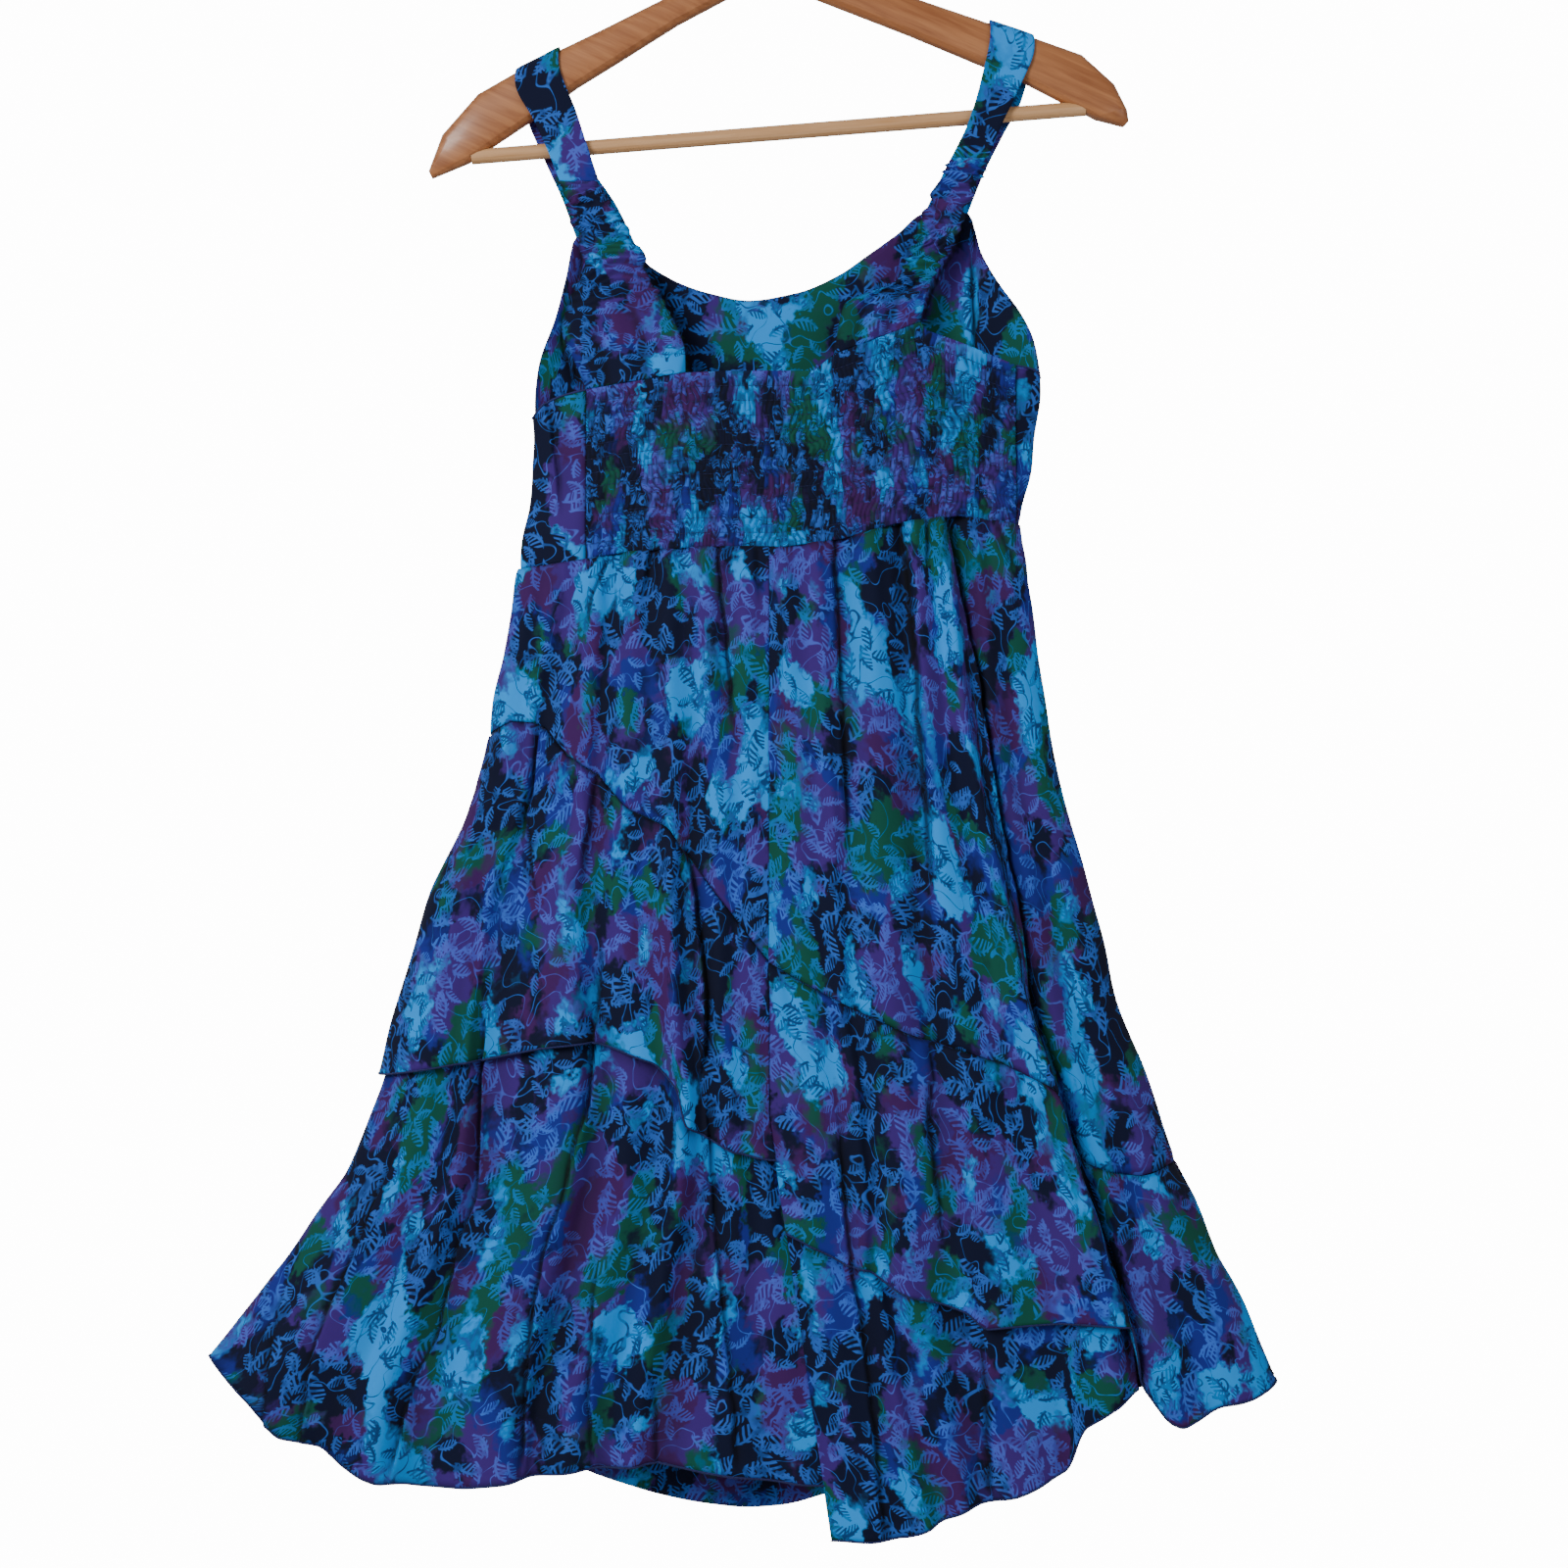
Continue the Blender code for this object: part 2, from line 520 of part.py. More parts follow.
def lower_tier(name, columns, side, made_material):
    column_rows = []
    for column in columns:
        angle, drop, fold = between(column, "empire", "seam", upper_shares(column)[-2])
        rows = [(angle, drop, fold, 0.0)]
        for i in range(FLOUNCE_ROWS + 1):
            _, angle, drop, fold = flounce_point(column, i)
            rows.append((angle, drop, fold, 0.0))
        for i in range(1, LOWER_ROWS + 1):
            share = i / LOWER_ROWS
            low = lerp(angle, column["hem_angle"], share)
            low_drop = lerp(drop, column["hem_drop"], share)
            rows.append((low, low_drop, lerp(fold, column["hem_out"], share), 0.0))
        column_rows.append(on_centre_seam(column, rows))
    inside, outside = wall_points(column_rows, side, -SEAM_GAP - WALL, -SEAM_GAP)
    return shell(name, inside, outside, made_material)


def back_panel(empire_line, made_material):
    """The shirred panel: gathers between elastic rows on its outside, plain inside."""
    across = GATHERS * 2
    down = ELASTIC_ROWS * 2

    def sheet(row_shares, relief):
        rows = []
        for i, down_share in enumerate(row_shares):
            row = []
            for j in range(across + 1):
                x = lerp(PANEL_LEFT + SEAM_GAP / 2.0, PANEL_RIGHT - SEAM_GAP / 2.0, j / across)
                top = read_curve(PANEL_TOP, x)
                low = read_curve(empire_line, x) - SEAM_GAP / 2.0
                drop = lerp(top, low, down_share)
                out = relief(i, j)
                row.append(on_form(angle_of(x, drop, -1), drop, out))
            rows.append(row)
        return rows

    def raised(i, j):
        if j % 2 == 0:
            return WALL
        return WALL + GATHER_HEIGHT * (1.0 if i % 2 else ELASTIC_SHARE)

    inside = sheet([i / PANEL_INSIDE_ROWS for i in range(PANEL_INSIDE_ROWS + 1)], lambda i, j: 0.0)
    outside = sheet([i / down for i in range(down + 1)], raised)
    return shell("back_panel", inside, outside, made_material)


def front_bodice(empire_back, empire_front, made_material):
    """Smooth bodice that wraps round both sides to the seams of the back panel."""
    columns = []
    for x, drop in BODICE_WRAP_LEFT:
        columns.append((x, drop, -1))
    columns.append((None, BODICE_UNDERARM_LEFT, 0))
    for x, drop in BODICE_TOP_FRONT:
        columns.append((x, drop, 1))
    columns.append((None, BODICE_UNDERARM_RIGHT, 1))
    for x, drop in BODICE_WRAP_RIGHT:
        columns.append((x, drop, -1))
    last = len(columns) - 1

    def sheet(out):
        rows = []
        for i in range(BODICE_ROWS + 1):
            row = []
            for j, (x, top, side) in enumerate(columns):
                if x is None:
                    angle = 0.0 if side == 0 else math.pi
                    left, right, _ = form_at(EMPIRE_BACK[0][1] if side == 0 else EMPIRE_BACK[-1][1])
                    low_x = left if side == 0 else right
                    low = read_curve(empire_back, low_x) - SEAM_GAP / 2.0
                    drop = lerp(top, low, i / BODICE_ROWS)
                elif j in (0, last):
                    seam_x = x + (-SEAM_GAP / 2.0 if j == 0 else SEAM_GAP / 2.0)
                    low = read_curve(empire_back, seam_x) - SEAM_GAP / 2.0
                    drop = lerp(top, low, i / BODICE_ROWS)
                    angle = angle_of(seam_x, drop, side)
                else:
                    angle = angle_of(x, top, side)
                    low = EMPIRE_BACK[0][1]
                    for _ in range(3):
                        left, right, _ = form_at(low)
                        low_x = (left + right) / 2.0 - (right - left) / 2.0 * math.cos(angle)
                        low = read_curve(empire_back if side < 0 else empire_front, low_x) - SEAM_GAP / 2.0
                    drop = lerp(top, low, i / BODICE_ROWS)
                row.append(on_form(angle, drop, out))
            rows.append(row)
        return rows

    return shell("front_bodice", sheet(0.0), sheet(WALL), made_material)


def arms_table():
    return [dict(zip(ARM_COLUMNS, row)) for row in ARMS]


def arm_top(x):
    return read_curve([(row["top_x"], row["top_drop"]) for row in arms_table()], x)


def strap_sections(table):
    return [dict(zip(STRAP_COLUMNS, row)) for row in table]


def strap_over_arm(top):
    """Sections of a strap where it lies over the hanger's arm."""
    left, right = top
    slope = math.atan2(arm_top(right) - arm_top(left), right - left)
    rise = (ARM_HALF_THICKNESS + STRAP_CLEARANCE) / math.cos(slope)
    centre = ARM_HALF_THICKNESS / math.cos(slope)
    sections = []
    for i in range(STRAP_ARC_STEPS + 1):
        facing = -90.0 + 180.0 * i / STRAP_ARC_STEPS
        up = math.cos(math.radians(facing)) * rise
        sections.append({
            "left_x": left,
            "left_drop": arm_top(left) + centre - up,
            "right_x": right,
            "right_drop": arm_top(right) + centre - up,
            "depth": math.sin(math.radians(facing)) * (ARM_HALF_THICKNESS + STRAP_CLEARANCE),
            "facing": facing,
            "on_form": 0.0,
        })
    return sections


def strap_point(section, share, out):
    x = lerp(section["left_x"], section["right_x"], share)
    drop = lerp(section["left_drop"], section["right_drop"], share)
    facing = math.radians(section["facing"])
    flat_out = Vector((0.0, math.sin(facing), math.cos(facing)))
    flat = Vector((x, section["depth"], -drop)) + flat_out * out
    if section["on_form"] == 0.0:
        return flat
    angle = angle_of(x, drop, math.sin(facing))
    return flat.lerp(on_form(angle, drop, out), section["on_form"])


def resampled(sections, pitch):
    """More sections, evenly spaced down the strap."""
    lengths = [0.0]
    for a, b in zip(sections, sections[1:]):
        step = strap_point(b, 0.5, 0.0) - strap_point(a, 0.5, 0.0)
        lengths.append(lengths[-1] + step.length)
    count = max(2, round(lengths[-1] / pitch))
    made = []
    for i in range(count + 1):
        at = lengths[-1] * i / count
        made.append({key: float(np.interp(at, lengths, [s[key] for s in sections])) for key in sections[0]})
    return made


def strap(name, sections, relief, made_material):
    inside = []
    outside = []
    for i, section in enumerate(sections):
        shares = [j / STRAP_ACROSS for j in range(STRAP_ACROSS + 1)]
        inside.append([strap_point(section, share, 0.0) for share in shares])
        outside.append([strap_point(section, share, STRAP_WALL + relief(i, share)) for share in shares])
    return shell(name, inside, outside, made_material)


def smooth_strap(name, back, top, front, made_material):
    sections = strap_sections(back) + strap_over_arm(top) + strap_sections(front)
    return strap(name, sections, lambda i, share: 0.0, made_material)


def ruched_strap(name, table, made_material):
    """Cross ridges from the elastic down to the flared end, which is smooth."""
    sections = resampled(strap_sections(table), RUCHE_PITCH)
    ruched = round(len(sections) * RUCHED_SHARE)

    def relief(i, share):
        return RUCHE_HEIGHT if i % 2 and i < ruched and 0.0 < share < 1.0 else 0.0

    return strap(name, sections, relief, made_material)


def arm_section(top, low):
    """Points round one section of the hanger's arm: two straight faces with round edges."""
    middle = (top + low) / 2.0
    up = (top - low) / 2.0
    half = up.length
    up = up.normalized()
    thickness = min(ARM_HALF_THICKNESS, ARM_TIP_THICKNESS + half * ARM_TIP_TAPER)
    radius = min(thickness, half)
    ring = []
    for end in (1.0, -1.0):
        for i in range(ARM_HALF_ROUND_STEPS + 1):
            turn = math.pi * i / ARM_HALF_ROUND_STEPS
            along = end * (half - radius + radius * math.sin(turn))
            ring.append(middle + up * along + Vector((0.0, end * thickness * math.cos(turn), 0.0)))
    return ring


def loft(name, rings, made_material, sharp=60.0):
    """A closed body through rings of the same number of points."""
    points = [point for ring in rings for point in ring]
    sides = len(rings[0])
    faces = []
    for i in range(len(rings) - 1):
        for j in range(sides):
            a = i * sides + j
            b = i * sides + (j + 1) % sides
            faces.append((a, b, b + sides, a + sides))
    for start in (0, (len(rings) - 1) * sides):
        centre = sum((points[start + j] for j in range(sides)), Vector()) / sides
        points.append(centre)
        for j in range(sides):
            faces.append((start + j, start + (j + 1) % sides, len(points) - 1))
    return add_object(name, points, faces, made_material, sharp)


def rod(name, centres, radius, sides, made_material, sharp=60.0):
    """A round rod along a path in the hanger's plane, or any path."""
    rings = []
    across = Vector((0.0, 1.0, 0.0))
    for i, centre in enumerate(centres):
        before = centres[max(i - 1, 0)]
        after = centres[min(i + 1, len(centres) - 1)]
        normal = (after - before).normalized().cross(across)
        ring = []
        for j in range(sides):
            turn = 2.0 * math.pi * j / sides
            ring.append(centre + (across * math.cos(turn) + normal * math.sin(turn)) * radius)
        rings.append(ring)
    return loft(name, rings, made_material, sharp)


def hanger_point(across, up):
    """A point in the hanger's own tilted frame, whose origin is the inside top of the crook."""
    x = across * math.cos(HANGER_TILT) - up * math.sin(HANGER_TILT)
    z = across * math.sin(HANGER_TILT) + up * math.cos(HANGER_TILT)
    return Vector((x, 0.0, z))


def hook_path():
    centre_up = WIRE_RADIUS - CROOK_RADIUS
    path = [hanger_point(0.0, -STEM_FOOT), hanger_point(0.0, -STEM_TOP)]
    start = Vector((0.0, -STEM_TOP))
    end = Vector((CROOK_RADIUS * math.cos(CROOK_START), centre_up + CROOK_RADIUS * math.sin(CROOK_START)))
    pull = (end - start).length * STEM_CURVE_PULL
    leave = start + Vector((0.0, 1.0)) * pull
    arrive = end - Vector((-math.sin(CROOK_START), math.cos(CROOK_START))) * pull
    for i in range(1, STEM_CURVE_STEPS):
        t = i / STEM_CURVE_STEPS
        point = start * (1 - t) ** 3 + leave * (3 * t * (1 - t) ** 2)
        point += arrive * (3 * t * t * (1 - t)) + end * t ** 3
        path.append(hanger_point(point.x, point.y))
    for i in range(CROOK_STEPS + 1):
        turn = lerp(CROOK_START, CROOK_END, i / CROOK_STEPS)
        path.append(hanger_point(CROOK_RADIUS * math.cos(turn), centre_up + CROOK_RADIUS * math.sin(turn)))
    return path


def cut_socket(wood, name, centres, radius, sides, made_material):
    cutter = rod(name, centres, radius, sides, made_material)
    cutter.hide_render = True
    cutter.display_type = "WIRE"
    cut = wood.modifiers.new(name, "BOOLEAN")
    cut.operation = "DIFFERENCE"
    cut.solver = "EXACT"
    cut.object = cutter


def hanger(wood_material, bar_material, wire_material):
    rings = []
    for row in arms_table():
        top = Vector((row["top_x"], 0.0, -row["top_drop"]))
        low = Vector((row["low_x"], 0.0, -row["low_drop"]))
        rings.append(arm_section(top, low))
    wood = loft("hanger_arms", rings, wood_material, sharp=50.0)
    left = Vector((BAR_LEFT[0], 0.0, -BAR_LEFT[1]))
    right = Vector((BAR_RIGHT[0], 0.0, -BAR_RIGHT[1]))
    along = (right - left).normalized()
    rod("hanger_bar", [left, right], BAR_RADIUS, BACK_SIDES, bar_material, sharp=40.0)
    rod("hanger_hook", hook_path(), WIRE_RADIUS, WIRE_SIDES, wire_material, sharp=70.0)
    wider = BAR_RADIUS + SEAM_GAP
    ends = (("bar_socket_left", left, along), ("bar_socket_right", right, -along))
    for name, end, inward in ends:
        start = end - inward * SEAM_GAP
        cut_socket(wood, name, [start, start + inward * SOCKET_DEPTH * 2.0], wider, BACK_SIDES, bar_material)
    foot = hanger_point(0.0, -STEM_FOOT - SEAM_GAP)
    mouth = hanger_point(0.0, -STEM_TOP)
    cut_socket(wood, "hook_socket", [foot, mouth], WIRE_RADIUS + SEAM_GAP, WIRE_SIDES, wire_material)


def build():
    clear_scene()
    blue = material("batik_cotton_blue", COTTON_BLUE, 0.85, 0.0)
    teal = material("batik_cotton_teal", COTTON_TEAL, 0.85, 0.0)
    violet = material("batik_cotton_violet", COTTON_VIOLET, 0.85, 0.0)
    beech = material("varnished_beech", BEECH, 0.35, 0.0)
    pine = material("plain_pine", PINE, 0.6, 0.0)
    steel = material("plated_steel_wire", STEEL, 0.3, 1.0)

    back_left = placed(
        fold_columns(FOLDS_BACK_LEFT), -1, EMPIRE_BACK, SEAM_BACK, FLOUNCE_HEM_BACK_LEFT, HEM_BACK_LEFT, -1
    )
    back_right = placed(
        fold_columns(FOLDS_BACK_RIGHT), -1, EMPIRE_BACK, SEAM_BACK, FLOUNCE_HEM_BACK_RIGHT, HEM_BACK_RIGHT, 1
    )
    front = placed(fold_columns(FOLDS_FRONT), 1, EMPIRE_FRONT, SEAM_FRONT, FLOUNCE_HEM_FRONT, HEM_FRONT)
    tiers = (("back_left", back_left, -1), ("back_right", back_right, -1), ("front", front, 1))
    for name, columns, side in tiers:
        upper_skirt("upper_skirt_" + name, columns, side, blue)
        upper_flounce("upper_flounce_" + name, columns, side, violet)
        lower_tier("lower_tier_" + name, columns, side, blue)

    def empire_line(columns):
        line = []
        for column in columns:
            left, right, _ = form_at(column["empire_drop"])
            turn = math.cos(column["empire_angle"])
            line.append(((left + right) / 2.0 - (right - left) / 2.0 * turn, column["empire_drop"]))
        return line

    empire_back = empire_line(back_left) + empire_line(back_right)
    empire_front = empire_line(front)
    back_panel(empire_back, blue)
    front_bodice(empire_back, empire_front, violet)
    smooth_strap("front_strap_left", LEFT_STRAP_BACK, LEFT_STRAP_TOP, LEFT_STRAP_FRONT, violet)
    smooth_strap("front_strap_right", RIGHT_STRAP_BACK, RIGHT_STRAP_TOP, RIGHT_STRAP_FRONT, teal)
    ruched_strap("back_strap_left", LEFT_EAR, blue)
    ruched_strap("back_strap_right", RIGHT_EAR, teal)
    hanger(beech, pine, steel)


build()
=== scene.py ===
# Tiered batik sundress on a wooden hanger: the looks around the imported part.
# Metres, but for the long tables, which are in mm. +Z up, the shirred back faces -Y.
# Heights are drops below the hook's crook.
import math

import bmesh
import bpy
import numpy as np
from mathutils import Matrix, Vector


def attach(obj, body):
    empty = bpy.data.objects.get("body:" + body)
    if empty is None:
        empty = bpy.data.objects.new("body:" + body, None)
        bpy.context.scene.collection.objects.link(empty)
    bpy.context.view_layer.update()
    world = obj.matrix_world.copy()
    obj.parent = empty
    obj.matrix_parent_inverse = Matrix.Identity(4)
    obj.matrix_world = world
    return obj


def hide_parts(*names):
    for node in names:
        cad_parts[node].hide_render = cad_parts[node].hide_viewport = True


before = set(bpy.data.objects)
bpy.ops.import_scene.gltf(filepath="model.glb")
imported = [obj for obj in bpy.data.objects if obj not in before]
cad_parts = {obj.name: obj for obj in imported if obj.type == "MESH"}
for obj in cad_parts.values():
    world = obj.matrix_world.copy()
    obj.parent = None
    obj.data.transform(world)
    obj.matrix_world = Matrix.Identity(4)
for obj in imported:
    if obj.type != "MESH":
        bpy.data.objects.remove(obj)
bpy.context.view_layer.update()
print("frame loaded", len(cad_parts), "nodes")

# what a user would change about the cloth
cloth = {
    "thickness": 0.0007,
    "outside": 0.0020,  # outer face above the garment's form
    "underLayer": -0.0004,  # outer face of the tier that lies under the flounce
    "flounceLift": 0.0045,
    "flounceSideLift": 0.0020,
    "seamDip": 0.0010,  # how far the cloth turns in at a seam
    "seamDipReach": 0.0022,
    "seamLap": 0.0004,
    "backCell": 0.0014,
    "frontCell": 0.0040,
    "rowCell": 0.0042,
    "troughShade": 0.42,
}

# the garment's form: drop, left, right, half depth
formTable = np.array([
    (220, -139, 181, 12), (337, -139, 182, 14), (364, -139, 179, 14), (395, -139, 175, 14),
    (420, -143, 170, 15), (435, -146, 168, 15), (458, -149, 171, 16), (486, -153, 176, 18),
    (514, -158, 179, 20), (540, -164, 183, 22), (567, -167, 187, 24), (595, -174, 193, 26),
    (617, -181, 199, 27), (643, -194, 207, 29), (665, -204, 213, 31), (699, -213, 222, 33),
    (729, -222, 228, 35), (753, -229, 237, 36), (779, -235, 248, 38), (814, -248, 259, 40),
    (840, -259, 269, 41), (864, -276, 281, 42), (893, -296, 292, 43), (924, -320, 309, 45),
    (944, -336, 317, 45), (964, -352, 325, 46), (1020, -387, 348, 47), (1070, -412, 361, 48),
]) / 1000

# seams and hems of the skirt: x, drop
edgeLines = {
    "empireBack": ((-151, 458), (-118, 454), (-80, 448), (-35, 445), (19, 445), (55, 440), (90, 430),
        (129, 425), (170, 430)),
    "empireFront": ((-151, 458), (-80, 453), (10, 447), (100, 438), (170, 430)),
    "seamBack": ((-168, 563), (-152, 555), (-138, 556), (-131, 560), (-117, 576), (-98, 589), (-79, 610),
        (-68, 615), (-53, 622), (-41, 640), (10, 706), (34, 720), (69, 738), (100, 752), (114, 756),
        (155, 769), (187, 785), (207, 832), (224, 838), (242, 841), (267, 834)),
    "seamFront": ((-168, 563), (-100, 595), (10, 685), (120, 770), (200, 815), (267, 834)),
    "flounceLeft": ((-233, 779), (-200, 773), (-168, 767), (-131, 759), (-98, 755), (-85, 759), (-60, 768),
        (-46, 784), (-42, 805), (-26, 815), (-12, 822), (10, 827)),
    "flounceRight": ((10, 868), (29, 876), (45, 884), (59, 892), (72, 895), (91, 909), (120, 917),
        (134, 922), (140, 931), (191, 929), (233, 931), (242, 970), (256, 991), (265, 995), (277, 991),
        (290, 984), (306, 982), (330, 972)),
    "flounceFront": ((-233, 779), (-100, 790), (10, 835), (120, 890), (220, 940), (330, 972)),
    "hemLeft": ((-348, 958), (-314, 982), (-296, 1002), (-270, 1008), (-258, 1018), (-232, 1029),
        (-206, 1030), (-179, 1030), (-146, 1025), (-116, 1020), (-98, 1018), (-62, 1014), (-31, 1019),
        (-1, 1023), (49, 1029)),
    "hemRight": ((49, 1062), (77, 1062), (96, 1060), (109, 1055), (132, 1043), (149, 1039), (160, 1037),
        (179, 1030), (197, 1020), (204, 996), (222, 984), (242, 972), (269, 971), (300, 968), (330, 960)),
    "hemFront": ((-348, 958), (-293, 989), (-231, 1014), (-181, 1021), (-146, 1026), (-131, 1035),
        (-106, 1047), (-68, 1062), (-43, 1068), (-6, 1070), (25, 1069), (50, 1062), (82, 1054), (132, 1035),
        (179, 1020), (195, 1006), (210, 1001), (222, 991), (242, 967), (269, 964), (300, 962), (330, 960)),
}
edgeLines = {name: np.array(line) / 1000 for name, line in edgeLines.items()}
centreSeam = np.array([(400, 9.6), (800, 9.6), (1062, 48.5)]) / 1000  # drop, x

# broad folds, one crest or trough a row: x at empire seam, slanting seam, flounce hem, hem; then height there
foldTables = {
    "left": (
        (-149, -168, -235, -348, 0, 0, 0, 0), (-140, -159, -203, -306, 1.5, 3, 5, 7),
        (-131, -148, -186, -265, 0, 0, -1, -2), (-121, -140, -177, -240, 2, 3, 5, 6),
        (-113, -132, -168, -215, 0, -1, -2, -3), (-98, -107, -108, -153, 2.5, 4, 6, 8),
        (-89, -98, -93, -137, -1, -2, -3, -4), (-78, -81, -71, -115, 2, 3, 4, 5),
        (-67, -68, -54, -96, -1, 0, 0, -3), (-56, -50, -40, -75, 1.5, 4, 6, 6),
        (-43, -40, -30, -59, 0, -3, -4, -3), (-31, -23, -15, -15, 2, 3, 4, 4),
        (-20, -11, -5, 10, -1.5, -0.5, 0, 0), (-6, -1, 3, 29, 1.5, 2, 2, 3),
        (9.6, 9.6, 13.6, 43.7, 0, 0, 0, 0)),
    "right": (
        (9.6, 9.6, 19.7, 48.5, 0, 0, 0, 0), (19, 32, 35, 72, 1.5, 2.5, 4, 5), (29, 45, 52, 91, 0, 0, 0, 0),
        (39, 55, 67, 107, 2, 3.5, 4, 5), (50, 62, 75, 117, -2, -1, -1, -1), (72, 85, 95, 130, 2.5, 4, 5, 6),
        (92, 110, 116, 144, -3, -3, -2, -2), (102, 135, 144, 166, 4, 4, 4, 5),
        (110, 163, 182, 191, 0, 0, 0, -1), (118, 183, 228, 222, 4, 7, 9, 8),
        (127, 202, 242, 243, -4, -4, -4, -4), (138, 219, 263, 266, 3, 4, 5, 5),
        (148, 235, 285, 287, 0, 0, 0, 0), (158, 249, 305, 308, 2, 3, 3, 3),
        (169, 267, 328, 324, 0, 0, 0, 0)),
    "front": (
        (-149, -168, -235, -348, 0, 0, 0, 0), (-121, -131, -181, -275, 2, 3, 4, 5),
        (-100, -106, -143, -231, 0, -1, -1, -2), (-78, -81, -106, -168, 2, 3, 5, 6),
        (-50, -50, -68, -112, -1, -1, -2, -3), (-25, -22, -31, -56, 2, 3, 4, 5),
        (0, 10, 10, -6, 0, -1, -2, -2), (25, 41, 50, 50, 2, 3, 5, 6), (50, 72, 88, 100, -1, -1, -2, -3),
        (75, 107, 132, 144, 2, 3, 5, 6), (103, 144, 175, 182, -1, -2, -2, -3),
        (129, 182, 225, 219, 2, 4, 5, 6), (147, 213, 269, 263, 0, 0, 0, 0),
        (160, 241, 300, 297, 1.5, 2, 3, 3), (169, 267, 328, 324, 0, 0, 0, 0)),
}
foldTables = {name: np.array(rows) / 1000 for name, rows in foldTables.items()}

# crisp pleat edges of the back, in mm: raised side, depth, width of the raised lip, fade at top
# and foot, then drop and x down the line
backPleats = [
    (1, 2.2, 8, 2, 30, ((452, -90.2), (479, -100.9), (507, -104.6))),
    (-1, 2, 7, 2, 25, ((447, -65.9), (467, -69), (485, -71.5))),
    (1, 1.2, 12, 20, 25, ((500, -55.2), (535, -54.5), (575, -52.7))),
    (1, 2.6, 10, 2, 45, ((444, -21.5), (472, -19.6), (502, -15.9), (545, -12.7), (580, -10))),
    (-1, 1.6, 6, 2, 20, ((444, 0.4), (472, 1.6), (485, 2))),
    (1, 1, 10, 20, 30, ((470, 16.6), (525, 17.9), (545, 18.5))),
    (-1, 2.8, 12, 2, 60, ((440, 49.1), (477, 51), (522, 52.9), (567, 55.4), (627, 57.9), (660, 59))),
    (1, 3.6, 13, 2, 60, ((428, 92.9), (462, 97.3), (492, 100.4), (530, 103.5), (560, 104.8), (597, 107.9),
        (635, 110.4), (680, 113))),
    (-1, 1.8, 5, 2, 18, ((427, 107.3), (450, 107.9), (462, 108.5))),
    (-1, 4.2, 14, 2, 30, ((425, 119.8), (455, 126.6), (492, 134.1), (530, 141.6), (567, 146.6),
        (605, 152.9), (642, 159.8), (689, 169.1), (734, 173.5), (785, 188.5), (804, 194.8), (847, 206),
        (882, 219.8), (917, 229.8), (931, 232.9))),
    (1, 2, 8, 2, 22, ((428, 152), (452, 164), (470, 170))),
    (-1, 3.6, 13, 12, 30, ((630, -45.9), (652, -39), (673, -35.9), (705, -31.5), (737, -29.6), (757, -30.2),
        (785, -35.9))),
    (1, 3, 10, 4, 30, ((560, -134.6), (602, -138.4), (615, -142.1), (632, -138.4), (650, -136.5),
        (675, -131))),
    (-1, 2, 8, 4, 30, ((587, -99.6), (615, -103.4), (636, -105.9), (665, -109))),
    (1, 3.4, 12, 40, 30, ((690, -94), (724, -94.6), (755, -98.4), (790, -100.9), (820, -109.6),
        (854, -117.7), (878, -125.9), (906, -132.1), (957, -138.4), (1030, -143.4))),
    (1, 3.4, 13, 50, 20, ((720, -167.7), (755, -166.5), (776, -169.6), (824, -170.9), (850, -172.7),
        (878, -182.1), (910, -189.6), (938, -195.9), (960, -207.7), (1032, -227.7))),
    (-1, 2.6, 12, 20, 50, ((750, 106), (776, 109.8), (804, 107.3), (835, 111.6), (869, 115.4),
        (900, 119.5))),
    (1, 1.8, 6, 4, 16, ((775, 166.6), (800, 166.6))),
    (1, 2.4, 10, 40, 10, ((880, -94.6), (922, -98.4), (946, -99), (968, -100.9), (1018, -98.4))),
    (-1, 2, 8, 30, 5, ((960, -62.7), (1018, -60.2))),
    (1, 3.4, 14, 40, 10, ((900, -293.4), (951, -300), (998, -304))),
    (1, 2.4, 12, 20, 10, ((930, 141.6), (951, 143.5), (1040, 148.5))),
    (-1, 2.6, 10, 15, 5, ((935, 237.9), (985, 242.3))),
    (-1, 2.2, 12, 60, 10, ((780, 50), (860, 56), (960, 70), (1060, 80))),
    (1, 2.2, 14, 60, 10, ((800, -210), (880, -245), (960, -275), (1008, -282))),
    (-1, 2, 12, 60, 10, ((760, -30), (860, -25), (960, -15), (1018, -10))),
]
# similar ones on the side that the photo hides
frontPleats = [
    (1, 2.4, 10, 2, 40, ((452, -105), (500, -112), (550, -121))),
    (-1, 2.6, 12, 2, 60, ((450, -60), (520, -66), (610, -73))),
    (1, 2.2, 9, 2, 40, ((447, -20), (500, -22), (560, -26))),
    (-1, 3, 12, 2, 60, ((445, 32), (520, 40), (620, 48))),
    (1, 2.6, 11, 2, 50, ((442, 70), (500, 78), (590, 90))),
    (-1, 3.6, 14, 2, 60, ((436, 112), (520, 128), (640, 152), (740, 172))),
    (1, 3, 13, 40, 40, ((640, -130), (760, -168), (900, -215), (1015, -235))),
    (-1, 3, 13, 40, 40, ((700, -60), (820, -80), (940, -105), (1040, -118))),
    (1, 2.8, 13, 40, 40, ((780, 20), (900, 26), (1060, 30))),
    (-1, 3, 13, 40, 40, ((800, 110), (900, 130), (1030, 140))),
    (1, 3.2, 13, 30, 30, ((830, 200), (900, 232), (965, 246))),
]


